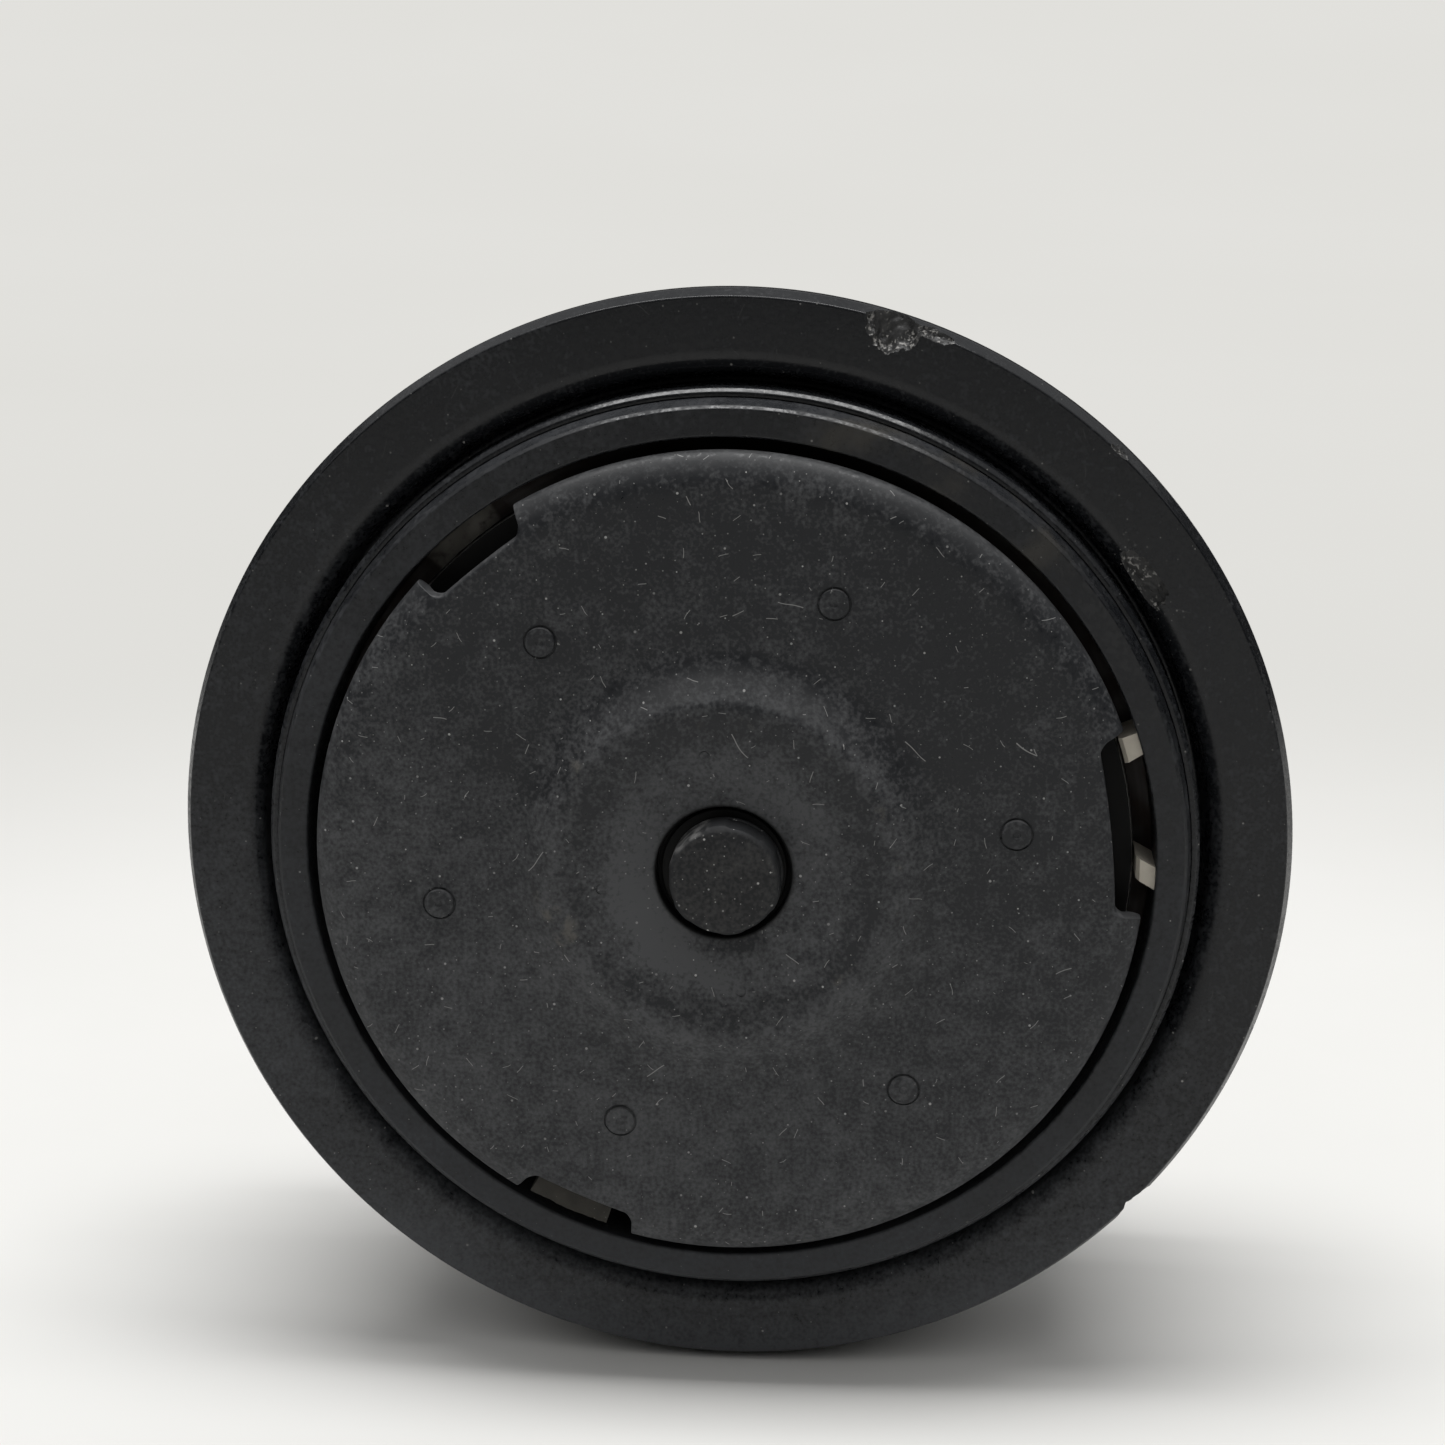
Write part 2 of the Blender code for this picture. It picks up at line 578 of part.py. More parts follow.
def build_rotor(clutch):
    """Steel rotor: two walls around the coil, a friction wall and the rim around the armature."""
    rib_low = BEARING_CENTRE - RIB_WIDTH / 2 - SEAM
    rib_high = BEARING_CENTRE + RIB_WIDTH / 2 + SEAM
    groove = ROTOR_RADIUS - RIB_HEIGHT
    snap_groove = ROTOR_BORE + SNAP_DEPTH
    lip_bore = BEARING_RADIUS - LIP_REACH
    profile = [
        (SHROUD_BORE, SHROUD_FRONT), (ROTOR_RADIUS - SHROUD_CHAMFER, SHROUD_FRONT),
        (ROTOR_RADIUS, SHROUD_FRONT - SHROUD_CHAMFER),
        (ROTOR_RADIUS, rib_high), (groove, rib_high), (groove, rib_low), (ROTOR_RADIUS, rib_low),
        (ROTOR_RADIUS, ROTOR_REAR), (ROTOR_CAVITY, ROTOR_REAR),
        (ROTOR_CAVITY, FRICTION_BACK), (ROTOR_INNER, FRICTION_BACK),
        (ROTOR_INNER, ROTOR_REAR), (ROTOR_BORE, ROTOR_REAR),
        (ROTOR_BORE, SNAP_GROOVE_REAR), (snap_groove, SNAP_GROOVE_REAR),
        (snap_groove, BEARING_REAR), (ROTOR_BORE, BEARING_REAR),
        (ROTOR_BORE, LIP_REAR), (lip_bore, LIP_REAR),
        (lip_bore, FRICTION_FACE), (SHROUD_BORE, FRICTION_FACE),
    ]
    rotor = clutch.part("rotor", turned(profile, OUTER_STEPS), PAINTED_BLACK, 0.4, 0.3)
    slot_inner = ROTOR_INNER + FLUX_SLOT_INSET
    cut_flux_slots(clutch, rotor, slot_inner, FRICTION_BACK - FRICTION_WALL, FRICTION_FACE + FRICTION_WALL)


def cut_flux_slots(clutch, piece, inner, low, high):
    """Curved slots that steer the coil's field through the friction faces."""
    slots = [
        sector(inner, inner + FLUX_SLOT_WIDTH, middle - FLUX_SLOT_ARC / 2, middle + FLUX_SLOT_ARC / 2)
        for middle in spread(math.radians(90.0), FLUX_SLOTS)
    ]
    clutch.shape(piece, "flux_slots", flat_plate(slots, low, high))


def build_pulley(clutch):
    """Moulded pulley: belt grooves between two flanges and a collar in front."""
    collar = PULLEY_BORE + COLLAR_WALL
    cove = FLANGE_FRONT - COVE_DEPTH
    front_edge = FLANGE_RADIUS - FLANGE_DRAFT
    profile = [
        (PULLEY_BORE, COLLAR_FRONT), (collar - COLLAR_ROUND, COLLAR_FRONT),
        (collar, COLLAR_FRONT - COLLAR_ROUND),
        (collar, cove), (collar + COVE_WIDTH, cove),
        (collar + COVE_WIDTH + COVE_FLARE, FLANGE_FRONT - FLANGE_DISH),
        (front_edge - FLANGE_KNEE, FLANGE_FRONT - FLANGE_KNEE_DEPTH),
        (front_edge, FLANGE_FRONT), (FLANGE_RADIUS, FLANGE_EDGE), (FLANGE_RADIUS, FLANGE_BACK),
        (BELT_RADIUS, BELT_FRONT),
    ]
    half_root = GROOVE_ROOT / 2
    half_mouth = half_root + GROOVE_DEPTH * math.tan(GROOVE_ANGLE / 2)
    for i in range(GROOVES):
        middle = BELT_FRONT - (i + 0.5) * GROOVE_PITCH
        profile += [
            (BELT_RADIUS, middle + half_mouth), (GROOVE_ROOT_RADIUS, middle + half_root),
            (GROOVE_ROOT_RADIUS, middle - half_root), (BELT_RADIUS, middle - half_mouth),
        ]
    rib_low = BEARING_CENTRE - RIB_WIDTH / 2
    rib_high = BEARING_CENTRE + RIB_WIDTH / 2
    rib = PULLEY_BORE - RIB_HEIGHT
    profile += [
        (BELT_RADIUS, BELT_REAR), (REAR_FLANGE_RADIUS, BELT_REAR - REAR_FLANGE_RISE),
        (REAR_FLANGE_RADIUS, PULLEY_REAR), (PULLEY_BORE, PULLEY_REAR),
        (PULLEY_BORE, rib_low), (rib, rib_low), (rib, rib_high), (PULLEY_BORE, rib_high),
    ]
    clutch.part("pulley_rim", turned(profile, OUTER_STEPS), MOULDED_BLACK, 0.38)


def build_armature(clutch):
    """Armature plate with the rivets that tie it to the springs."""
    plate_profile = ring(ARMATURE_BORE, ARMATURE_RADIUS, ARMATURE_REAR, ARMATURE_FRONT)
    plate = clutch.part("armature_plate", turned(plate_profile, INNER_STEPS), DARK_STEEL, 0.5, 0.8)
    below = ARMATURE_REAR - ARMATURE_THICKNESS
    above = ARMATURE_FRONT + ARMATURE_THICKNESS
    hub_places = [polar(RIVET_CIRCLE, angle) for angle in spread(HUB_RIVET_ANGLE, SPRINGS)]
    own_places = [polar(RIVET_CIRCLE, angle) for angle in spread(ARMATURE_RIVET_ANGLE, SPRINGS)]
    head_room = RIVET_HEAD_RADIUS + SEAM
    seat = ARMATURE_REAR + SEAM + RIVET_HEAD_HEIGHT + SEAM
    clutch.shape(plate, "hub_rivet_room", rods(hub_places, head_room, below, above))
    clutch.shape(plate, "rivet_holes", rods(own_places, RIVET_RADIUS + SEAM, below, above, RIVET_SIDES))
    clutch.shape(plate, "rivet_seats", rods(own_places, head_room, below, seat))
    slot_inner = ARMATURE_RADIUS - ARMATURE_SLOT_INSET - FLUX_SLOT_WIDTH
    cut_flux_slots(clutch, plate, slot_inner, below, above)

    front_head = HUB_PLATE_REAR
    for number, place in enumerate(own_places, start=1):
        add_rivet(clutch, f"armature_rivet_{number}", place, seat - SEAM, front_head)


def add_rivet(clutch, name, place, shank_low, shank_high):
    """Rivet with a flat head at both ends of its shank."""
    profile = [
        (0.0, shank_high + RIVET_HEAD_HEIGHT), (RIVET_HEAD_RADIUS, shank_high + RIVET_HEAD_HEIGHT),
        (RIVET_HEAD_RADIUS, shank_high), (RIVET_RADIUS, shank_high),
        (RIVET_RADIUS, shank_low), (RIVET_HEAD_RADIUS, shank_low),
        (RIVET_HEAD_RADIUS, shank_low - RIVET_HEAD_HEIGHT), (0.0, shank_low - RIVET_HEAD_HEIGHT),
    ]
    add_turned_at(clutch, name, place, profile, STEEL, 0.35, 1.0)


def add_turned_at(clutch, name, place, profile, colour, roughness, metallic):
    """Small turned piece that stands beside the axis."""
    mesh = turned(profile, RIVET_SIDES, reaches_axis=True)
    mesh.transform(Matrix.Translation((*place, 0.0)))
    clutch.part(name, mesh, colour, roughness, metallic)


def build_springs(clutch):
    """Straight leaf springs, each from a hub rivet to an armature rivet."""
    half_span = (ARMATURE_RIVET_ANGLE - HUB_RIVET_ANGLE) / 2
    half_length = RIVET_CIRCLE * math.sin(half_span)
    distance = RIVET_CIRCLE * math.cos(half_span)
    outline = []
    for end, first in ((half_length, -math.pi / 2), (-half_length, math.pi / 2)):
        for x, y in arc(SPRING_HALF_WIDTH, first, first + math.pi, ARC_POINTS):
            outline.append((x + end, y + distance))
    holes = []
    for end in (half_length, -half_length):
        hole = [polar(RIVET_RADIUS + SEAM, angle) for angle in spread(0.0, RIVET_SIDES)]
        holes.append([(x + end, y + distance) for x, y in hole])
    middles = spread(HUB_RIVET_ANGLE + half_span - math.pi / 2, SPRINGS)
    for number, turn in enumerate(middles, start=1):
        mesh = flat_plate([outline, *holes], SPRING_REAR, SPRING_FRONT)
        mesh.transform(Matrix.Rotation(turn, 4, 'Z'))
        clutch.part(f"leaf_spring_{number}", mesh, SPRING_STEEL, 0.35, 1.0)


def build_hub(clutch):
    """Hub boss with its drive plate, and the pieces that sit in the plate."""
    shoulder = HUB_FRONT - HUB_WEB
    profile = [
        (BOLT_HOLE, HUB_FRONT), (BOSS_RADIUS, HUB_FRONT), (BOSS_RADIUS, HUB_PLATE_FRONT),
        (HUB_PLATE_RADIUS, HUB_PLATE_FRONT), (HUB_PLATE_RADIUS, HUB_PLATE_REAR),
        (BOSS_RADIUS, HUB_PLATE_REAR), (BOSS_RADIUS, HUB_REAR),
        (SHAFT_RADIUS, HUB_REAR), (SHAFT_RADIUS, shoulder), (BOLT_HOLE, shoulder),
    ]
    hub = clutch.part("hub", turned(profile, INNER_STEPS), DARK_STEEL, 0.5, 0.9)
    below = HUB_PLATE_REAR - HUB_PLATE_THICKNESS
    above = HUB_PLATE_FRONT + HUB_PLATE_THICKNESS
    rivets = [polar(RIVET_CIRCLE, angle) for angle in spread(HUB_RIVET_ANGLE, SPRINGS)]
    windows = [polar(RIVET_CIRCLE, angle) for angle in spread(ARMATURE_RIVET_ANGLE, SPRINGS)]
    stops = [polar(RIVET_CIRCLE, angle) for angle in spread(RUBBER_ANGLE, SPRINGS)]
    pegs = [polar(PEG_CIRCLE, angle) for angle in spread(PIP_ANGLE, PIPS)]
    window_radius = RIVET_HEAD_RADIUS + RIVET_WINDOW_GAP
    clutch.shape(hub, "rivet_holes", rods(rivets, RIVET_RADIUS + SEAM, below, above, RIVET_SIDES))
    clutch.shape(hub, "rivet_windows", rods(windows, window_radius, below, above))
    clutch.shape(hub, "stop_holes", rods(stops, RUBBER_RADIUS + SEAM, below, above, RIVET_SIDES))
    clutch.shape(hub, "peg_holes", rods(pegs, PEG_RADIUS + SEAM, below, above, RIVET_SIDES))

    for number, place in enumerate(rivets, start=1):
        add_rivet(clutch, f"hub_rivet_{number}", place, ARMATURE_FRONT, HUB_PLATE_FRONT + SEAM)
    head_rear = HUB_PLATE_FRONT + SEAM
    stop = [
        (0.0, head_rear + RUBBER_HEAD_HEIGHT), (RUBBER_HEAD_RADIUS, head_rear + RUBBER_HEAD_HEIGHT),
        (RUBBER_HEAD_RADIUS, head_rear), (RUBBER_RADIUS, head_rear),
        (RUBBER_RADIUS, ARMATURE_FRONT + SEAM), (0.0, ARMATURE_FRONT + SEAM),
    ]
    for number, place in enumerate(stops, start=1):
        add_turned_at(clutch, f"stop_rubber_{number}", place, stop, RUBBER, 0.7, 0.0)

    shim_front = shoulder - SEAM
    shim = ring(BOLT_HOLE, SHAFT_RADIUS - SEAM, shim_front - SHIM_THICKNESS, shim_front)
    clutch.part("gap_shim", turned(shim, SMALL_STEPS), BRASS, 0.35, 1.0)
    washer = ring(BOLT_HOLE, COVER_HOLE - WASHER_INSET, WASHER_REAR, WASHER_REAR + WASHER_THICKNESS)
    clutch.part("bolt_washer", turned(washer, SMALL_STEPS), DARK_STEEL, 0.5, 0.8)


def build_bolt(clutch):
    """Hex bolt: a prism trimmed by a turned chamfer, with its shank."""
    prism = rods([(0.0, 0.0)], BOLT_CORNER, BOLT_SEAT, BOLT_FACE, sides=6)
    prism.transform(Matrix.Rotation(BOLT_TURN - math.pi / 6, 4, 'Z'))
    bolt = clutch.part("centre_bolt", prism, PAINTED_BLACK, 0.45, 0.3)
    around = BOLT_CORNER - BOLT_CORNER_CUT
    face_radius = BOLT_CORNER - BOLT_CHAMFER
    slope = math.tan(math.radians(30.0))
    trim = [
        (0.0, BOLT_FACE + BOLT_CHAMFER), (face_radius - BOLT_CHAMFER / slope, BOLT_FACE + BOLT_CHAMFER),
        (around, BOLT_FACE - (around - face_radius) * slope), (around, BOLT_SEAT - BOLT_CHAMFER),
        (0.0, BOLT_SEAT - BOLT_CHAMFER),
    ]
    clutch.shape(bolt, "chamfer", turned(trim, SMALL_STEPS, reaches_axis=True), 'INTERSECT')
    shank = rods([(0.0, 0.0)], BOLT_RADIUS, BOLT_SEAT - BOLT_LENGTH, BOLT_SEAT + BOLT_HEAD_HEIGHT / 2)
    clutch.shape(bolt, "shank", shank, 'UNION')


def dome(inward):
    """Points of the cover's round shoulder, moved inward by the wall for its inner face."""
    drop = COVER_FLAT - COVER_EDGE_FRONT
    radius = (DOME_WIDTH ** 2 + drop ** 2) / (2 * drop)
    full = math.asin(DOME_WIDTH / radius)
    start = COVER_RADIUS - DOME_WIDTH
    centre = COVER_FLAT - radius
    reach = radius - inward
    if inward:
        full = math.acos((COVER_EDGE_REAR - centre) / reach)
    angles = [i * full / DOME_SEGMENTS for i in range(DOME_SEGMENTS + 1)]
    return [(start + reach * math.sin(angle), centre + reach * math.cos(angle)) for angle in angles]


def build_cover(clutch):
    """Flat cover with a raised centre ring, edge notches, and pegs that press into the hub."""
    hole_front = HUB_FRONT + SEAM + COVER_WALL
    ridge_in = RIDGE_RADIUS - RIDGE_WIDTH / 2
    ridge_out = RIDGE_RADIUS + RIDGE_WIDTH / 2
    foot = ridge_out + RIDGE_SLOPE
    centre_front = [
        (COVER_HOLE, hole_front), (DISH_RADIUS, hole_front + DISH_RISE),
        (ridge_in, hole_front + RIDGE_RISE), (ridge_out, hole_front + RIDGE_RISE),
        (foot, COVER_FLAT),
    ]
    centre_back = [
        (foot - COVER_WALL / 2, COVER_INSIDE), (ridge_out - COVER_WALL / 2, hole_front + RIDGE_RISE - COVER_WALL),
        (DISH_RADIUS, hole_front + DISH_RISE - COVER_WALL), (COVER_HOLE, hole_front - COVER_WALL),
    ]
    profile = centre_front + dome(0.0)
    profile.append((COVER_RADIUS, COVER_EDGE_REAR))
    profile += [*reversed(dome(COVER_WALL)), *centre_back]
    cover = clutch.part("front_cover", turned(profile, OUTER_STEPS), COVER_BLACK, 0.6)

    outlines = [
        sector(COVER_RADIUS - NOTCH_DEPTH, COVER_RADIUS + NOTCH_DEPTH, math.radians(start), math.radians(end))
        for start, end in NOTCHES
    ]
    clutch.shape(cover, "notches", flat_plate(outlines, COVER_EDGE_REAR - COVER_RIM, COVER_FLAT + COVER_WALL))
    places = [polar(PEG_CIRCLE, angle) for angle in spread(PIP_ANGLE, PIPS)]
    inside = COVER_INSIDE + COVER_WALL / 2
    pips = rods(places, PIP_RADIUS, inside, COVER_FLAT + PIP_HEIGHT)
    clutch.shape(cover, "pips", pips, 'UNION')
    pegs = rods(places, PEG_RADIUS, HUB_PLATE_REAR + SEAM, inside, RIVET_SIDES)
    clutch.shape(cover, "pegs", pegs, 'UNION')


def main():
    """Clear the scene and build the clutch from its rear to its front."""
    for obj in list(bpy.data.objects):
        bpy.data.objects.remove(obj)
    clutch = Clutch()
    build_coil(clutch)
    build_mounting_plate(clutch)
    build_bearing(clutch)
    build_bearing_rings(clutch)
    build_rotor(clutch)
    build_pulley(clutch)
    build_armature(clutch)
    build_springs(clutch)
    build_hub(clutch)
    build_bolt(clutch)
    build_cover(clutch)


main()
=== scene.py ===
"""Finished look of an electromagnetic clutch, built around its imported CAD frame.

Pieces are modelled in millimetres about the clutch's own axis: local Z points to the front and zero is the
rear face of the coil's mounting plate. A finished mesh is then laid along the frame's Y axis, front to -Y,
in metres. Main sizes are read from the frame, and the values below are the finer details.
"""
import json
import math
from collections import namedtuple

import bmesh
import bpy
from mathutils import Matrix, Vector, noise

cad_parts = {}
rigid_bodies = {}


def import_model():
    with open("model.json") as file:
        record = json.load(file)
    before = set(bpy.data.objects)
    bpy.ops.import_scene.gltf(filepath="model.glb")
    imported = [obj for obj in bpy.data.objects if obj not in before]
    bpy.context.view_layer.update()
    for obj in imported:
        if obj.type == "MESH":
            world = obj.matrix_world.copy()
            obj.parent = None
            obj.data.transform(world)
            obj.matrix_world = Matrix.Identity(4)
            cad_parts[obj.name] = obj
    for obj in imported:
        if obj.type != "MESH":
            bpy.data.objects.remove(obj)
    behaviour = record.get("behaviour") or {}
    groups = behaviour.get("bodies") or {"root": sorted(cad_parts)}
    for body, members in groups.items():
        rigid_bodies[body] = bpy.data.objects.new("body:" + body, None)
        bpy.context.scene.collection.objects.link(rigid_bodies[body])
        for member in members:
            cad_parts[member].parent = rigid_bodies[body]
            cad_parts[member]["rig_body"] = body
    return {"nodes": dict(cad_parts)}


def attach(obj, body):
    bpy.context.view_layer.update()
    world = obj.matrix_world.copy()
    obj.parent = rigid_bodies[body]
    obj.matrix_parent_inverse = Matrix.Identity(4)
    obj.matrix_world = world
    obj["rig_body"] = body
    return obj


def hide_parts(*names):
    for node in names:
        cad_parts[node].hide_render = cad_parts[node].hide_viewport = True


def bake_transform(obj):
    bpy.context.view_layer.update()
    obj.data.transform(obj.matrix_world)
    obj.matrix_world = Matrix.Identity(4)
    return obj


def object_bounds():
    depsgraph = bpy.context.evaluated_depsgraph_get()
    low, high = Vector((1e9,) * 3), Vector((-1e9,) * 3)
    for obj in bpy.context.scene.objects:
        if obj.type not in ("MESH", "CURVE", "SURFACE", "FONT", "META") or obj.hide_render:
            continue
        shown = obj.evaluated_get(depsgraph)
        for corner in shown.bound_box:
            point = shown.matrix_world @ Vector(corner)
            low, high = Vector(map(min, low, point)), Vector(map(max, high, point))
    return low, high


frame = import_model()
cad_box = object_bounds()

TO_FRAME = Matrix.Rotation(math.radians(90.0), 4, 'X') @ Matrix.Scale(0.001, 4)
FROM_FRAME = TO_FRAME.inverted()
Ring = namedtuple("Ring", "inner outer rear front")
NUMBERS = (1, 2, 3)         # of the springs, rivets and stops

# Facets
STEPS = 288
HALF_STEPS = 144
HIDDEN_STEPS = 128
SMALL_STEPS = 48
CORNER_POINTS = 4
ROUNDING_LIMIT = 0.48       # share of a side that one rounding may take
BALL_FACETS = 4
CHIP_FACETS = 5
DENT_FACETS = 5
MERGE = 0.001
SMOOTH_ANGLE = math.radians(35.0)
SEAM = 0.3                  # between pieces that touch
OVERCUT = 1.0               # how far a cutter stands out of what it cuts

# Moulded pulley
COLLAR_LIP = 1.2
COLLAR_LIP_GAP = 0.06
COLLAR_WIDTH = 0.90         # outside the rotor's rim
COLLAR_CHAMFER = 0.40
COLLAR_CHAMFER_DEPTH = 0.47
COVE_DEPTH = 4.0            # behind the flange's front
COVE_WIDTH = 0.5
COVE_FLARE = 0.8
FLANGE_FRONT = 1.5          # behind the collar's front
FLANGE_DISH = 0.9
FLANGE_KNEE = 5.7           # inside the flange's edge
FLANGE_KNEE_DEPTH = 0.15
FLANGE_DRAFT = 0.7
FLANGE_TAPER = 1.4
FLANGE_LAND = 1.5
FLANGE_RISE = 1.5
FLANGE_HEIGHT = 3.3
GROOVES = 6
GROOVE_PITCH = 3.56
GROOVE_DEPTH = 2.9
GROOVE_ROOT = 0.6
GROOVE_ANGLE = math.radians(40.0)
REAR_FLANGE_WIDTH = 2.0
REAR_FLANGE_RISE = 0.8
REAR_FLANGE_HEIGHT = 0.5
RIB_WIDTH = 3.0
RIB_DEPTH = 0.8             # of the rotor's groove for the rib
EJECTOR_MARKS = 10
EJECTOR_RADIUS = 2.2
EJECTOR_WIDTH = 0.15
EJECTOR_DEPTH = 0.12
EJECTOR_ANGLE = 0.2         # of the first mark, radians

# Broken places on the pulley: angle in degrees, distance inside the rim, depth behind the flange's front,
# then half sizes along the rim, inwards and back
CHIPS = (
    (73.4, 0.1, -0.6, 2.9, 3.7, 2.1),
    (69.2, 0.0, -0.1, 2.3, 1.3, 1.1),
    (47.5, 0.1, -0.2, 1.5, 0.8, 0.9),
    (-41.6, -0.6, 1.0, 2.5, 1.5, 4.6),
    (253.0, -0.5, 1.0, 2.7, 1.2, 4.6),
    (35.2, 6.3, 0.55, 3.6, 1.6, 0.6),
)
CHIP_ROUGHNESS = 0.16
CHIP_GRAIN = 0.05
CHIP_SCALES = (2.2, 5.0, 12.0)  # lumps, smaller lumps and grain, per radius
CHIP_FRACTAL = (0.7, 2.1, 4)  # dimension, step and octaves of the grain
CHIP_SEEDS = (7.3, 3.1, 5.7)  # shift from one chip's pattern to the next

# Front cover
COVER_WALL = 1.6
FLAT_DEPTH = 2.3            # cover's flat behind its ridge
DISH_DEPTH = 0.4
HOLE_DEPTH = 1.1
HOLE_ROUND = 0.3
HOLE_RISE = 0.04
EDGE_DEPTH = 0.4            # cover's edge behind the rotor's rim
EDGE_ROUND = 0.25
SHOULDER_START = 36.2
SHOULDER_RADIUS = 4.83
SHOULDER_INSIDE = 34.0
SHOULDER_MARGIN = 0.2
RIDGE_INNER = 15.4
RIDGE_OUTER = 16.6
RIDGE_FOOT = 20.2
RIDGE_WALL = 0.9
DISH_RADIUS = 11.9
COVER_LIP = 0.45
SHOULDER_POINTS = 16
NOTCHES = ((-6.4, 20.6), (120.0, 137.2), (238.4, 256.4))  # start and end, degrees
NOTCH_DEPTH = 2.5
NOTCH_CHORD = 0.6           # how far a notch's inner edge straightens from an arc to a chord
NOTCH_ROUND = math.radians(2.0)
NOTCH_LIP = 0.25            # share of that rounding where the edge turns in
NOTCH_POINTS = 20
PIPS = 6
PIP_CIRCLE = 27.8
PIP_RADIUS = 1.4
PIP_HEIGHT = 0.3
PIP_DOT = 0.3
PIP_DOT_DEPTH = 0.12
PIP_DOT_SLOPE = 0.1
PIP_GROOVE_WIDTH = 0.22
PIP_GROOVE_DEPTH = 0.16
PIP_OVERLAP = 0.1
PIP_ANGLE = math.radians(8.5)
PEG_RADIUS = 1.6
MARKS = 4
MARK_RADIUS = 0.5
MARK_WIDTH = 0.09
MARK_DEPTH = 0.07
MARK_INSET = 0.2            # inside the dish's edge

# Dirt that fills one notch
DIRT = (-119.6, -107.6)     # ends, degrees
DIRT_DEPTH = 0.3            # behind the cover's shoulder
DIRT_UNDER = 0.6            # inside the notch's inner edge
DIRT_EDGE = 0.5
DIRT_FOOT = 0.2
DIRT_LUMP = 0.25
DIRT_GRAIN = 1.3            # lumps per millimetre

# Centre bolt
BOLT_FLATS = 10.0
BOLT_TURNED = 5.37          # radius that the hex corners are turned down to
BOLT_WORN = 5.2             # radius that is left of the flats
BOLT_FACE_RADIUS = 4.87
BOLT_SHIFT = 0.3            # bolt's head beside the axis
BOLT_CHAMFER = math.radians(40.0)
BOLT_LEAST_CHAMFER = 0.02
BOLT_TURN = math.radians(38.0)
BOLT_FLANGE = 0.5
THREAD_PITCH = 1.0
THREAD_DEPTH = 0.5
THREAD_POINTS = 8
THREAD_START = 0.6
THREAD_ROOM = 1.0           # kept clear of the thread
THREAD_RUN_IN = 2.0

# Hub, armature and rotor
BOSS_RADIUS = 10.0
HUB_NOSE = 2.2
HUB_PLATE = 1.8
HUB_WEB = 2.0
HUB_DARK = 1.0              # how far back the hub's nose gets near-black painted shade, for the gap around the bolt
SPLINE_TEETH = 18
SPLINE_DEPTH = 0.7
SPLINE_OVERCUT = 0.5
SPLINE_SHARES = (0.0, 0.12, 0.42, 0.54)  # corners of a tooth as shares of the pitch
SPLINE_END = 4.0
FLUX_SLOT_WIDTH = 1.4
FLUX_SLOT_ARC = math.radians(96.0)
FLUX_SLOTS = 3
SLOT_OVERCUT = 3.0
SLOT_END_POINTS = 8
ROTOR_SLOT = 33.0
ARMATURE_SLOT = 34.4
COIL_GAP = 0.4
WALL_GAP = 1.2              # between the coil and the rotor's wall
SHROUD_GAP = 1.1
AIR_GAP = 0.5
RIM_LAND = 0.75
RIM_CHAMFER = 0.42
RIM_CHAMFER_DEPTH = 0.39
RIM_TAPER = 2.0
RUSTY_BAND = 0.4            # heights about the friction face that are rusty
BARE_MARGIN = 0.3           # inside the shroud
BARE_DEPTH = 0.1            # behind the friction face
WORN_EDGE = 0.4
WORN_SLOPES = (0.2, 0.95)   # rounded edge of the armature, by how far it faces the front
HOLE_CHAMFER = 0.25
RIVET_HOLE = 1.9
RIVET_ROOM = 3.1
RIVET_SEAT = 1.3
RIVET_WINDOW = 3.3
STOP_HOLE = 2.5
PEG_HOLE = 1.9
RIVET_SHANK = 1.6
RIVET_HEAD = 0.7
RIVET_TOP = 0.62            # share of the head's radius that is flat
RIVET_DOME = 0.55           # share of its height that is domed
RIVET_DIMPLE = 0.25
RIVET_DIMPLE_SHARES = (0.4, 0.3)  # mouth and floor as shares of the head's radius
RUBBER_STEM = 2.2
RUBBER_HEAD = 0.7
SPRING_HALF_WIDTH = 3.5
SPRING_BENDS = 24
SPRING_EDGE = 0.08
SPRING_HELD = (0.12, 0.88)  # shares of the length at which points between the two rivets are taken
PUTTY = (((-1.5, 1.7), (-2.9, 0.2)), ((15.2, 18.9), (16.0, 19.0)))  # ends inside and outside, degrees
PUTTY_INNER = 38.95
PUTTY_DEPTH = 0.8           # behind the rotor's rim
PUTTY_SEAM = 0.02
PUTTY_EDGE = 0.5
PUTTY_SLOPE = 0.2
PUTTY_POINTS = 12

# Bearing
BALL_RADIUS = 2.9
BALLS_PER_ROW = 8
RACE_RADIUS = 3.15
RACE_POINTS = 10
RACE_SHOULDER = 0.8
POCKET_RADIUS = 3.2
POCKET_LENGTH = 4.0
CAGE_HALF_WIDTH = 0.9
SEAL_STEP = 0.25
SEAL_SHARES = (0.2, 0.28, 0.62, 0.7)  # across the width, where its face steps down and up again
SNAP_RINGS = (              # each with the angle of its opening in degrees
    ("bearing_snap_ring", 270.0),
    ("nose_snap_ring", 90.0),
    ("coil_snap_ring", 90.0),
)
SNAP_OPENING = 8.0
SNAP_EYE = 0.85
SNAP_EYE_INSET = 2.6
SNAP_EDGE = 0.15
SNAP_LUGS = 0.6             # angle beside the opening where the ring is wider, radians

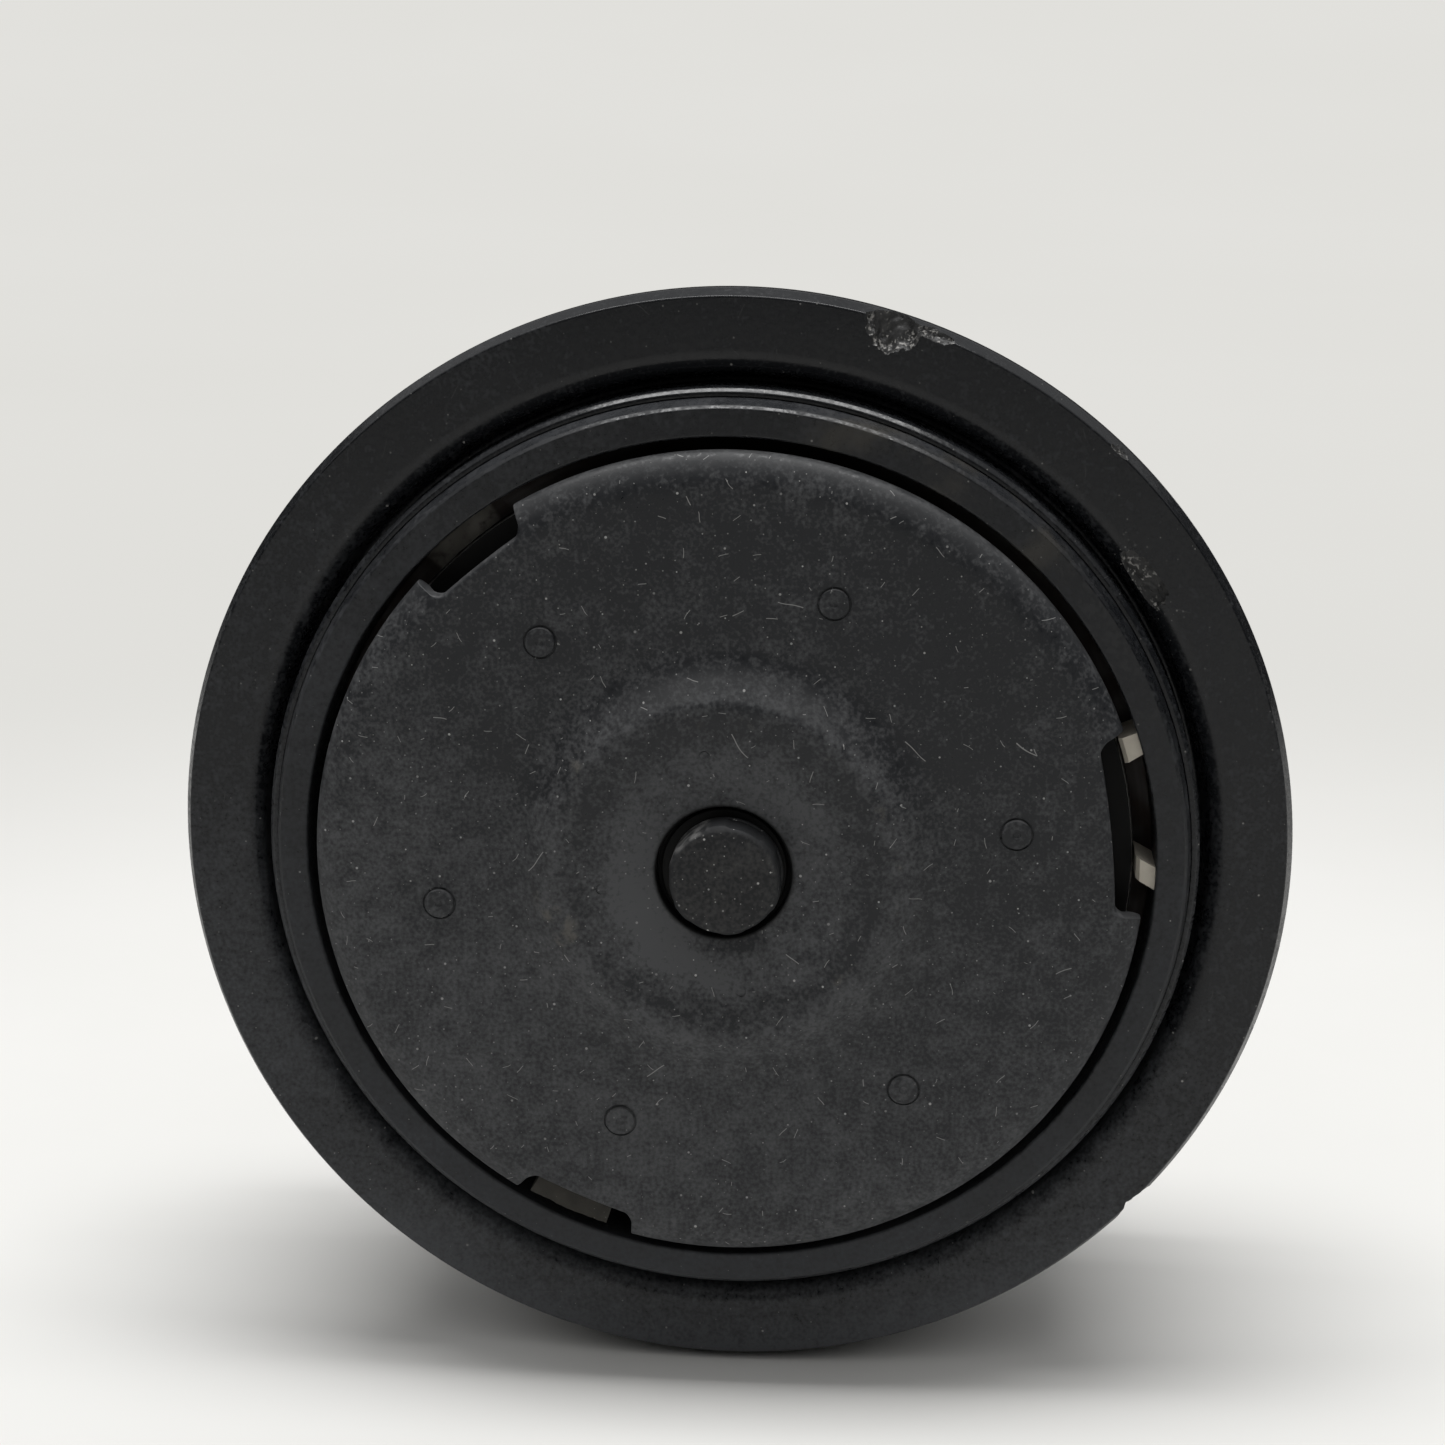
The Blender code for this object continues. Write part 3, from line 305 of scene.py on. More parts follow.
# Coil, mounting plate and terminals
COIL_WALL = 1.5
BOBBIN_WALL = 0.9
BOBBIN_FLANGE = 1.0
WINDING_TURNS = 18
WIRE_POINTS = 6
WELDS = 8
WELD_CIRCLE = 36.45
WELD_RADIUS = 1.7
WELD_DEPTH = 0.5
PIN_HOLE = 1.8
TERMINAL_ANGLE = math.radians(200.0)
BLOCK_EDGE = 0.7
BLOCK_RIBS = 3
BLOCK_SLOT = 0.35           # half width and depth between the ribs
BLADE_WIDTH = 4.0
BLADE_THICKNESS = 0.8
BLADE_EDGE = 0.12
BLADE_EYE = 0.8
BLADE_EYE_INSET = 2.6
BLADE_EYE_CHAMFER = 0.1
BLADE_TAPER = 1.4
BLADE_TIP = 0.45            # share of the width that is left at the tip
BLADE_OFFSET = 3.0
SEAT_DEPTH = 3.0

# Camera, taken from how the rings lie in the photograph
AIM_DEPTH = 0.030
CAMERA_AZIMUTH = math.radians(4.54)
CAMERA_ELEVATION = math.radians(16.48)
CAMERA_DISTANCE = 0.270
AIM_ABOVE = 0.01111
AIM_LEFT = 0.00116
CAMERA_LENS = 67.85

# Stage, in metres
FLOOR_GAP = 0.0004
FLOOR_RADIUS = 1.5
FLOOR_CURVE = 0.5
WALL_RADIUS = 2.6
WALL_START = 0.25
WALL_HEIGHT = 1.3
TABLE_EDGE = 0.60           # where the pale table starts to darken
TABLE_END = 1.40
BACKDROP_START = 0.10
BACKDROP_FULL = 0.32
SKY_LEVEL = 0.58
LAMP_PLACE = (0.0, -0.045, 0.85)
LAMP_SIZE = (0.80, 0.22)
LAMP_POWER = 6.9

# Dust, and painted floor reflection
LOWER_LEFT = (-0.35, -0.94, 0.0)  # direction on the front towards which dust thickens and painted floor reflection grows


def local_points(node):
    """Vertices of a CAD node about the clutch's own axis, in millimetres."""
    return [FROM_FRAME @ vertex.co for vertex in frame["nodes"][node].data.vertices]


def span(node):
    """How far a CAD node reaches from the axis and along it."""
    points = local_points(node)
    radii = [point.xy.length for point in points]
    heights = [point.z for point in points]
    return Ring(min(radii), max(radii), min(heights), max(heights))


def middle_of(node):
    """Height of a CAD node's middle."""
    ring = span(node)
    return (ring.rear + ring.front) / 2


def radii_behind(node, height):
    """Distances from the axis of a CAD node's vertices behind a height."""
    return [point.xy.length for point in local_points(node) if point.z < height]


def place_of(node):
    """Where a small CAD node stands beside the axis."""
    points = local_points(node)
    ends = [(min(values), max(values)) for values in zip(*[point.xy for point in points])]
    return Vector([(low + high) / 2 for low, high in ends])


def places_of(kind):
    """Where the numbered nodes of one kind stand."""
    return [place_of(f"{kind}_{number}") for number in NUMBERS]


def head_radius(node):
    """Largest radius of a small CAD node about its own middle."""
    middle = place_of(node)
    return max((point.xy - middle).length for point in local_points(node))


def polar(radius, angle):
    """Point in the local XY plane."""
    return Vector((radius * math.cos(angle), radius * math.sin(angle)))


def spread(first_angle, count):
    """Angles of a pattern that is even around the axis."""
    return [first_angle + i * math.tau / count for i in range(count)]


def pip_places():
    """Where the cover's pips and pegs stand."""
    return [polar(PIP_CIRCLE, angle) for angle in spread(PIP_ANGLE, PIPS)]


def shares(count):
    """Even steps from 0 to 1."""
    return [k / count for k in range(count + 1)]


def part_way(start, end, share):
    """Value some share of the way from one to another."""
    return start + share * (end - start)


def rectangle(left, right, low, high):
    """Corners of a rectangle in the local XY plane."""
    return [(left, low), (right, low), (right, high), (left, high)]


def corner_curve(start, corner, end):
    """Points of a rounded corner."""
    start, corner, end = Vector(start), Vector(corner), Vector(end)
    return [start.lerp(corner, share).lerp(corner.lerp(end, share), share) for share in shares(CORNER_POINTS)]


def rounded(corners):
    """Profile with rounded corners. A corner is a radius, a height and the length that its rounding takes."""
    points = []
    for i, (radius, height, reach) in enumerate(corners):
        corner = Vector((radius, height))
        if not reach:
            points.append(corner)
            continue
        before = Vector(corners[i - 1][:2]) - corner
        after = Vector(corners[(i + 1) % len(corners)][:2]) - corner
        reach = min(reach, before.length * ROUNDING_LIMIT, after.length * ROUNDING_LIMIT)
        start = corner + before.normalized() * reach
        end = corner + after.normalized() * reach
        points += corner_curve(start, corner, end)
    return points


def finished(work):
    """Clean mesh from a bmesh, which is freed."""
    bmesh.ops.remove_doubles(work, verts=work.verts, dist=MERGE)
    bmesh.ops.recalc_face_normals(work, faces=work.faces)
    mesh = bpy.data.meshes.new("piece")
    work.to_mesh(mesh)
    work.free()
    return mesh


def skin(work, first, second, closed=True):
    """Faces between two rows of vertices."""
    count = len(first)
    for k in range(count if closed else count - 1):
        m = (k + 1) % count
        work.faces.new((first[k], second[k], second[m], first[m]))


def swept(columns, closed=True):
    """Mesh through profiles that stand about Z. A column is an angle and its (radius, height) points."""
    work = bmesh.new()
    grid = [
        [work.verts.new((*polar(radius, angle), height)) for radius, height in profile]
        for angle, profile in columns
    ]
    for i, column in enumerate(grid):
        skin(work, column, grid[(i + 1) % len(grid)], closed)
    return finished(work)


def strip(sections):
    """Solid through sections with as many points each, closed at both ends."""
    work = bmesh.new()
    rows = [[work.verts.new(point) for point in section] for section in sections]
    for first, second in zip(rows, rows[1:]):
        skin(work, first, second)
    work.faces.new(rows[0])
    work.faces.new(rows[-1])
    return finished(work)


def turned(corners, steps=STEPS, closed=True):
    """Mesh of a rounded profile turned about Z. An open profile starts and ends on the axis."""
    profile = rounded(corners)
    return swept([(angle, profile) for angle in spread(0.0, steps)], closed)


def plain_ring(ring, edge, steps=STEPS):
    """Ring with a rectangular section and rounded edges."""
    return turned([
        (ring.inner, ring.front, edge), (ring.outer, ring.front, edge),
        (ring.outer, ring.rear, edge), (ring.inner, ring.rear, edge),
    ], steps)


def prism(outline, low, high, edge=0.0):
    """Plate cut to an outline of (x, y) points, with a rounded edge if one is given."""
    work = bmesh.new()
    face = work.faces.new([work.verts.new((x, y, low)) for x, y in outline])
    wall = bmesh.ops.extrude_face_region(work, geom=[face])["geom"]
    top = [item for item in wall if isinstance(item, bmesh.types.BMVert)]
    bmesh.ops.translate(work, verts=top, vec=(0.0, 0.0, high - low))
    if edge:
        caps = [item for item in work.edges if item.verts[0].co.z == item.verts[1].co.z]
        bmesh.ops.bevel(work, geom=caps, offset=edge, segments=2, affect='EDGES', profile=0.5)
    return finished(work)


def sphere(place, radius, subdivisions):
    """Round ball at a place."""
    work = bmesh.new()
    matrix = Matrix.Translation(place)
    bmesh.ops.create_icosphere(work, subdivisions=subdivisions, radius=radius, matrix=matrix)
    return finished(work)


def joined(meshes):
    """One mesh of several that lie apart."""
    work = bmesh.new()
    for mesh in meshes:
        work.from_mesh(mesh)
    return finished(work)


def moved(mesh, place=(0.0, 0.0), angle=0.0):
    """Mesh turned about Z and then moved to an (x, y) place."""
    mesh.transform(Matrix.Translation((*place, 0.0)) @ Matrix.Rotation(angle, 4, 'Z'))
    return mesh


def lathed(profile, place):
    """Small turned piece at a place beside the axis."""
    return moved(turned(profile, SMALL_STEPS, closed=False), place)


def rings_at(places, ring):
    """Cutters for small round grooves."""
    return joined([moved(plain_ring(ring, 0.0, SMALL_STEPS), place) for place in places])


def drills(places, radius, low, high, chamfer=HOLE_CHAMFER):
    """Cutters for round holes whose mouths at both heights are chamfered."""
    flare = radius + chamfer + OVERCUT
    above, below = high + OVERCUT, low - OVERCUT
    profile = [
        (0.0, above, 0.0), (flare, above, 0.0), (radius, high - chamfer, 0.0),
        (radius, low + chamfer, 0.0), (flare, below, 0.0), (0.0, below, 0.0),
    ]
    return joined([lathed(profile, place) for place in places])


def curved_slots(inner, low, high):
    """Cutters for curved slots with round ends, even around the axis."""
    half_width = FLUX_SLOT_WIDTH / 2
    middle = inner + half_width
    half = FLUX_SLOT_ARC / 2 - half_width / middle
    bends = [half - i * 2 * half / SMALL_STEPS for i in range(SMALL_STEPS + 1)]
    turns = [math.pi - k * math.pi / SLOT_END_POINTS for k in range(1, SLOT_END_POINTS)]
    first_end = [polar(middle, half) + polar(half_width, half + turn) for turn in turns]
    last_end = [polar(middle, -half) + polar(half_width, -half - turn) for turn in reversed(turns)]
    outside = [polar(inner + FLUX_SLOT_WIDTH, angle) for angle in bends]
    outline = first_end + outside + last_end + [polar(inner, -angle) for angle in bends]
    low, high = low - SLOT_OVERCUT, high + SLOT_OVERCUT
    angles = spread(math.pi / 2, FLUX_SLOTS)
    return joined([moved(prism(outline, low, high), angle=angle) for angle in angles])


def carved(mesh, *cutters, operation='DIFFERENCE'):
    """Mesh after it is cut by others, or joined with them."""
    blank = bpy.data.objects.new("blank", mesh)
    tools = [bpy.data.objects.new("tool", cutter) for cutter in cutters]
    for item in (blank, *tools):
        bpy.context.scene.collection.objects.link(item)
    for tool in tools:
        boolean = blank.modifiers.new("Carve", 'BOOLEAN')
        boolean.solver = 'EXACT'
        boolean.operation = operation
        boolean.material_mode = 'TRANSFER'
        boolean.object = tool
    graph = bpy.context.evaluated_depsgraph_get()
    result = bpy.data.meshes.new_from_object(blank.evaluated_get(graph))
    for item in (blank, *tools):
        bpy.data.objects.remove(item)
    return result


class Value:
    """Output of a shader node, with short ways to work on it."""

    def __init__(self, finish, socket):
        self.finish = finish
        self.socket = socket

    def __add__(self, other):
        return self.finish.calc('ADD', self, other)

    def __sub__(self, other):
        return self.finish.calc('SUBTRACT', self, other)

    def __mul__(self, other):
        return self.finish.calc('MULTIPLY', self, other)

    def larger(self, other):
        """The larger of two values."""
        return self.finish.calc('MAXIMUM', self, other)

    def below(self, other):
        """1 where the value is less than another."""
        return self.finish.calc('LESS_THAN', self, other)

    def rise(self, low, high):
        """Smooth step from 0 at low to 1 at high, or down where high is the smaller."""
        inputs = {"Value": self, "From Min": low, "From Max": high}
        return self.finish.value("MapRange", inputs, interpolation_type='SMOOTHSTEP')

    def between(self, low, high, soft):
        """1 between two values, with soft ends."""
        return self.rise(low - soft, low) * self.rise(high + soft, high)

    def scaled(self, low, high):
        """A 0 to 1 value stretched to another range."""
        return self.finish.value("MapRange", {"Value": self, "To Min": low, "To Max": high})


class Finish:
    """A procedural material, with short ways to add its nodes. Lengths in it are metres."""

    def __init__(self, name, sockets=()):
        self.material = bpy.data.materials.new(name)
        self.material.use_nodes = True
        self.tree = self.material.node_tree
        self.shader = self.tree.nodes["Principled BSDF"]
        for label, value in dict(sockets).items():
            self.shader.inputs[label].default_value = value
        self.place = self.value("TexCoord", {}, "Object")
        across, _, up = self.parts("XYZ", self.place)
        self.flat = self.value("CombineXYZ", {0: across, 1: up})
        self.radius = self.value("VectorMath", {0: self.flat}, "Value", operation='LENGTH')
        self.angle = self.calc('ARCTAN2', up, across)
        _, behind, self.facing_up = self.parts("XYZ", self.value("TexCoord", {}, "Normal"))
        self.facing_front = behind * -1.0

    def node(self, kind, inputs, **settings):
        """New shader node with its settings, values and links."""
        made = self.tree.nodes.new("ShaderNode" + kind)
        for name, setting in settings.items():
            setattr(made, name, setting)
        for key, value in inputs.items():
            self.feed(made.inputs[key], value)
        return made

    def value(self, kind, inputs, output=0, **settings):
        """One output of a new shader node."""
        return Value(self, self.node(kind, inputs, **settings).outputs[output])

    def parts(self, kind, whole):
        """The three parts of a vector or colour."""
        return [Value(self, socket) for socket in self.node("Separate" + kind, {0: whole}).outputs]

    def feed(self, socket, value):
        """Link another node's output to a socket, or set its value."""
        if isinstance(value, Value):
            self.tree.links.new(value.socket, socket)
        else:
            socket.default_value = value

    def calc(self, operation, first, second=0.0):
        """Result of one sum."""
        return self.value("Math", {0: first, 1: second}, operation=operation)

    def vectors(self, operation, first, second):
        """Result of one sum of vectors."""
        return self.value("VectorMath", {0: first, 1: second}, operation=operation)

    def arc(self, start, end, soft):
        """1 between two angles about the axis in degrees, with soft ends."""
        return self.angle.between(math.radians(start), math.radians(end), math.radians(soft))

    def lower_left(self, reach):
        """Rises from 0 to 1 towards the lower left of the front."""
        along = self.value("VectorMath", {0: self.flat, 1: LOWER_LEFT}, "Value", operation='DOT_PRODUCT')
        return along.rise(-reach, reach)

    def low_down(self, start, full):
        """Rises from 0 to 1 between two sines of the angle about the axis."""
        return self.calc('SINE', self.angle).rise(start, full)

    def on_front(self):
        """1 on faces towards the front."""
        return self.facing_front.rise(0.3, 0.6)

    def noise(self, size, detail=3.0):
        """Cloudy pattern whose lumps are about the given size."""
        return self.value("TexNoise", {"Vector": self.place, "Scale": 1.0 / size, "Detail": detail})

    def mottle(self, size, strength, detail=3.0):
        """Cloudy pattern about zero."""
        return (self.noise(size, detail) - 0.5) * strength

    def turning(self, pitch):
        """Pattern of fine rings about the axis, as a lathe leaves them."""
        return self.value("TexNoise", {"W": self.radius, "Scale": 1.0 / pitch}, noise_dimensions='1D')

    def cells(self, place, spacing, measure):
        """Random cells over the front: one measure of them, and three random values of each."""
        inputs = {"Vector": place, "Scale": 1.0 / spacing}
        outputs = self.node("TexVoronoi", inputs, voronoi_dimensions='2D').outputs
        return Value(self, outputs[measure]), self.parts("Color", Value(self, outputs["Color"]))

    def specks(self, spacing, radius, share):
        """Mask of small dots of mixed sizes on faces towards the front. A share of the cells holds one."""
        distance, (pick, size, tone) = self.cells(self.flat, spacing, "Distance")
        reach = size.scaled(0.4 * radius / spacing, radius / spacing)
        dot = self.calc('DIVIDE', distance, reach).rise(1.0, 0.5)
        return dot * self.on_front() * tone.scaled(0.35, 1.0) * pick.below(share)

    def dust_grains(self, fine, coarse):
        """Mask of many faint specks and some bright ones. Each kind has a spacing, a radius and a share."""
        return (self.specks(*fine) * 0.6).larger(self.specks(*coarse))

    def hairs(self, spacing, length, width, share):
        """Mask of short thin strokes at random angles on faces towards the front."""
        bend = self.value("TexNoise", {"Vector": self.flat, "Scale": 0.7 / length, "Detail": 1.0}, "Color")
        shift = self.vectors('SUBTRACT', bend, (0.5, 0.5, 0.5))
        shift = self.value("VectorMath", {0: shift, "Scale": 0.5 * length}, operation='SCALE')
        bent = self.vectors('ADD', self.flat, shift)
        centre, (turn, pick, reach) = self.cells(bent, spacing, "Position")
        inputs = {"Vector": self.vectors('SUBTRACT', bent, centre), "Angle": turn * math.tau}
        along, aside, _ = self.parts("XYZ", self.value("VectorRotate", inputs, rotation_type='Z_AXIS'))
        ends = self.calc('ABSOLUTE', along).below(reach.scaled(0.1 * length, 0.5 * length))
        sides = self.calc('ABSOLUTE', aside).rise(width, 0.4 * width)
        return ends * sides * self.on_front() * pick.below(share)

    def mix(self, first, second, factor):
        """First colour with the second over it, as far as the factor says."""
        return self.value("Mix", {0: factor, 6: first, 7: second}, 2, data_type='RGBA')

    def bumps(self, height, depth, strength):
        """Relief from a pattern."""
        relief = self.value("Bump", {"Height": height, "Distance": depth, "Strength": strength})
        self.feed(self.shader.inputs["Normal"], relief)

    def done(self, colour, roughness):
        """Link the colour and roughness, and hand over the material."""
        self.feed(self.shader.inputs["Base Color"], colour)
        self.feed(self.shader.inputs["Roughness"], roughness)
        return self.material


def grey(level, warm=0.0):
    """Grey of a linear level, a little brown where it is warm and a little blue where that is negative."""
    return (level * (1.0 + 0.5 * warm), level, level * (1.0 - warm), 1.0)


# Colour of the dust layer, which on the lower front also serves as painted floor reflection
DUST_AND_SHEEN_COLOUR = grey(0.06, -0.08)
SPECK_COLOUR = grey(0.34, 0.04)


def moulded_plastic():
    """Satin black moulding of the pulley: a thin layer of dust that is also painted floor reflection near the
    bottom and towards the lower left, specks, fine scuffs, flecks where it is spalled.
    """
    finish = Finish("moulded_plastic", {"Specular IOR Level": 0.26})
    # Painted floor reflection: the rim is made paler near its bottom and, with the dust, towards the lower
    # left
    painted_rim_reflection = finish.radius.rise(0.0490, 0.0537) * finish.low_down(-0.5, -1.0)
    pale_layer = finish.lower_left(0.055).scaled(-0.16, 0.40) + painted_rim_reflection * 0.6 + finish.mottle(0.018, 0.8, 6.0)
    pale_layer = pale_layer + finish.mottle(0.0016, 1.0, 5.0) + finish.mottle(0.0004, 1.5)
    settled = finish.facing_up.rise(0.3, 0.9) * finish.noise(0.004, 5.0) * 0.2
    specks = finish.dust_grains((0.0016, 0.00011, 0.25), (0.007, 0.00017, 0.5))
    scuffs = finish.hairs(0.0034, 0.0020, 0.00004, 0.35) * finish.noise(0.015)
    spalled = finish.radius.between(0.0456, 0.0498, 0.0010) * finish.arc(29.5, 40.5, 1.5)
    flecks = finish.specks(0.0006, 0.00014, 0.4) * spalled * finish.noise(0.002).rise(0.35, 0.6)
    colour = finish.mix(grey(0.007, -0.15), grey(0.011, -0.15), finish.noise(0.016, 4.0))
    colour = finish.mix(colour, DUST_AND_SHEEN_COLOUR, pale_layer.larger(settled))
    colour = finish.mix(colour, grey(0.14), scuffs * 0.35)
    colour = finish.mix(colour, grey(0.26, 0.04), flecks * 0.8)
    colour = finish.mix(colour, SPECK_COLOUR, specks * 0.8)
    finish.bumps(finish.noise(0.0006, 4.0), 0.00003, 0.4)
    return finish.done(colour, finish.noise(0.006, 5.0).scaled(0.24, 0.34) + pale_layer * 0.4)


def broken_plastic():
    """Grainy surface where the moulding has chipped: glassy dark hollows with pale crumbs."""
    finish = Finish("broken_plastic", {"Specular IOR Level": 0.4})
    crumbs = finish.noise(0.00035, 6.0).rise(0.53, 0.66) * finish.noise(0.0028).rise(0.44, 0.60)
    colour = finish.mix(grey(0.012), grey(0.035), finish.noise(0.0012, 4.0))
    colour = finish.mix(colour, grey(0.32, 0.05), crumbs)
    finish.bumps(finish.noise(0.0005, 6.0), 0.00012, 0.8)
    return finish.done(colour, finish.noise(0.001).scaled(0.3, 0.6))


def cover_dust_and_painted_light(finish, crest):
    """How much the cover is lightened: dust most in the middle and beside the hole, dust with painted floor
    reflection at the lower left, less in a painted shadow below the bolt.
    """
    middle = finish.radius.rise(0.0150, 0.0105)
    trough = finish.radius.between(0.0132, 0.0148, 0.0014)
    by_hole = finish.radius.between(0.0064, 0.0098, 0.0022)
    turn = finish.calc('COSINE', finish.angle - math.radians(205.0))
    # Painted shadow of the bolt's head on the dish below it
    painted_bolt_shadow = finish.radius.rise(0.0088, 0.0072) * finish.low_down(-0.80, -0.95)
    dust_and_light_amount = middle.scaled(0.04, 0.42) + crest * 0.20 + trough * -0.14
    dust_and_light_amount = dust_and_light_amount + by_hole * turn.rise(0.3, 0.9) * 0.50 + by_hole * turn.rise(-0.75, -0.95) * 0.14
    # Dust with painted floor reflection towards the lower left, and less under the painted bolt shadow
    dust_and_light_amount = dust_and_light_amount + finish.lower_left(0.036) * 0.46 + painted_bolt_shadow * -0.5
    dust_and_light_amount = dust_and_light_amount + finish.mottle(0.014, 0.9, 6.0) + finish.mottle(0.0017, 1.5, 5.0)
    return dust_and_light_amount + finish.mottle(0.0004, 2.2)


def cover_plastic():
    """Matte black moulding of the cover: grey dust, with painted floor reflection at the lower left and a
    painted shadow below the bolt, a brown cake on the ridge, specks and fibres, and near-black painted shade
    on the wall of its hole.
    """
    finish = Finish("cover_plastic", {"Specular IOR Level": 0.34})
    crest = finish.radius.between(0.0158, 0.0172, 0.0016)
    outside_hole = finish.radius.rise(0.0064, 0.0070)
    dust_and_light_amount = cover_dust_and_painted_light(finish, crest) * outside_hole
    settled = finish.facing_up.rise(0.2, 0.8) * finish.noise(0.003, 6.0) * outside_hole
    cake = crest * finish.noise(0.0032, 6.0).rise(0.62, 0.72)
    specks = finish.dust_grains((0.0012, 0.00010, 0.40), (0.0046, 0.00017, 0.65)) * outside_hole
    short_fibres = finish.hairs(0.0030, 0.0012, 0.000045, 0.36)
    fibres = short_fibres.larger(finish.hairs(0.011, 0.0030, 0.00006, 0.35))
    colour = finish.mix(grey(0.010, -0.18), grey(0.014, -0.18), finish.noise(0.02, 4.0))
    # Painted shade: the wall of the hole is made near black, and dust stops at its edge
    colour = finish.mix(grey(0.002), colour, outside_hole)
    colour = finish.mix(colour, grey(0.080, -0.04), dust_and_light_amount)
    colour = finish.mix(colour, grey(0.11), settled * 0.55)
    colour = finish.mix(colour, grey(0.13, 0.18), cake * 0.4)
    colour = finish.mix(colour, grey(0.34, 0.02), fibres * 0.6)
    colour = finish.mix(colour, grey(0.46, 0.02), specks * 0.8)
    finish.bumps(finish.noise(0.0004, 4.0), 0.00004, 0.5)
    return finish.done(colour, finish.noise(0.004, 5.0).scaled(0.50, 0.60) + dust_and_light_amount * 0.4)


def coated_steel():
    """Black coated steel of the rotor's rim, with a dust layer that towards the lower left is also painted
    floor reflection, dusty smudges and lathe marks.
    """
    finish = Finish("coated_steel", {"Specular IOR Level": 0.29})
    # Dust, with painted floor reflection that grows towards the lower left
    pale_layer = finish.lower_left(0.045).scaled(-0.03, 0.46) + finish.mottle(0.012, 0.9, 6.0)
    pale_layer = pale_layer + finish.mottle(0.0016, 0.8, 5.0) + finish.mottle(0.0004, 1.2)
    smudge = finish.arc(48.0, 76.0, 8.0) * finish.noise(0.004, 6.0).rise(0.42, 0.66) * 0.45
    specks = finish.dust_grains((0.0016, 0.00010, 0.25), (0.007, 0.00016, 0.5))
    settled = finish.facing_up.rise(0.5, 1.0) * finish.noise(0.003, 5.0) * 0.8
    colour = finish.mix(grey(0.008, -0.15), grey(0.012, -0.15), finish.noise(0.01, 4.0))
    colour = finish.mix(colour, DUST_AND_SHEEN_COLOUR, pale_layer.larger(settled))
    colour = finish.mix(colour, grey(0.055, 0.18), smudge)
    colour = finish.mix(colour, SPECK_COLOUR, specks * 0.75)
    finish.bumps(finish.turning(0.0004), 0.00002, 0.3)
    return finish.done(colour, finish.noise(0.003, 5.0).scaled(0.32, 0.46) + pale_layer * 0.8)


def rusty_steel():
    """Friction face: dark steel gone brown, with worn rings and one patch of dirt, made paler as a painted
    pool of light where a notch lets light in.
    """
    finish = Finish("rusty_steel", {"Metallic": 0.35})
    rust = finish.noise(0.003, 8.0).rise(0.35, 0.7)
    worn = finish.turning(0.0011).rise(0.5, 0.75)
    # Dirt, lightened as a painted pool of light under the cover's notch
    dirt_and_light_patch = finish.arc(125.5, 136.0, 0.8) * finish.noise(0.001, 5.0).rise(0.2, 0.5)
    colour = finish.mix((0.012, 0.009, 0.008, 1.0), (0.026, 0.016, 0.013, 1.0), rust)
    colour = finish.mix(colour, (0.04, 0.036, 0.034, 1.0), worn * 0.3)
    colour = finish.mix(colour, grey(0.14, 0.12), dirt_and_light_patch)
    finish.bumps(finish.noise(0.0007, 6.0), 0.00005, 0.6)
    return finish.done(colour, rust.scaled(0.5, 0.85))


def worked_steel(name, dark, light, low, high, pitch=0.0005):
    """Bare or plated steel with lathe marks, cloudy tone and a few dull stains."""
    finish = Finish(name, {"Metallic": 1.0})
    rings = finish.turning(pitch)
    stains = finish.noise(0.005, 7.0).rise(0.55, 0.75)
    stain_colour = tuple(0.45 * value for value in dark[:3]) + (1.0,)
    colour = finish.mix(dark, light, finish.noise(0.008, 5.0))
    colour = finish.mix(colour, stain_colour, stains * 0.35)
    finish.bumps(rings + finish.noise(0.0004, 4.0) * 0.5, 0.00002, 0.4)
    return finish.done(colour, rings.scaled(low, high) + stains * 0.15)


def bolt_steel():
    """Black oxide bolt: pale dust on the upper left of its side, and specks."""
    finish = Finish("bolt_steel", {"Specular IOR Level": 0.25})
    side = finish.facing_front.rise(0.93, 0.6)
    upper_left = finish.arc(112.0, 158.0, 12.0).scaled(0.0, 0.6) * finish.facing_up.rise(0.1, 0.6)
    dust = side * finish.noise(0.0013, 7.0).rise(0.30, 0.62) * upper_left
    specks = finish.dust_grains((0.0009, 0.00010, 0.45), (0.0022, 0.00015, 0.6))
    pale_layer = finish.mottle(0.003, 0.7, 5.0) + 0.15 + finish.mottle(0.0004, 1.2)
    colour = finish.mix(grey(0.010, -0.10), grey(0.015, -0.10), finish.noise(0.004, 5.0))
    colour = finish.mix(colour, grey(0.075, 0.02), pale_layer * finish.facing_front.rise(0.6, 0.95))
    colour = finish.mix(colour, grey(0.20, 0.02), dust)
    colour = finish.mix(colour, grey(0.42, 0.02), specks * 0.9)
    finish.bumps(finish.noise(0.0005, 5.0), 0.00002, 0.5)
    return finish.done(colour, finish.noise(0.003, 4.0).scaled(0.55, 0.70))


def armature_steel():
    """Nearly black steel with brown dust where it lies lowest."""
    finish = Finish("armature_steel", {"Specular IOR Level": 0.15})
    dust = finish.arc(-117.0, -107.0, 1.5) * finish.noise(0.002, 5.0).scaled(0.4, 1.0)
    colour = finish.mix(grey(0.003), grey(0.006), finish.noise(0.004, 5.0))
    colour = finish.mix(colour, grey(0.06, 0.18), dust)
    finish.bumps(finish.turning(0.0005), 0.00002, 0.4)
    return finish.done(colour, finish.noise(0.002).scaled(0.5, 0.65))


def copper_wire():
    """Enamelled copper wire."""
    finish = Finish("copper_wire", {"Metallic": 1.0, "Coat Weight": 0.4})
    colour = finish.mix((0.42, 0.15, 0.06, 1.0), (0.62, 0.26, 0.11, 1.0), finish.noise(0.003, 4.0))
    return finish.done(colour, finish.noise(0.001).scaled(0.25, 0.4))


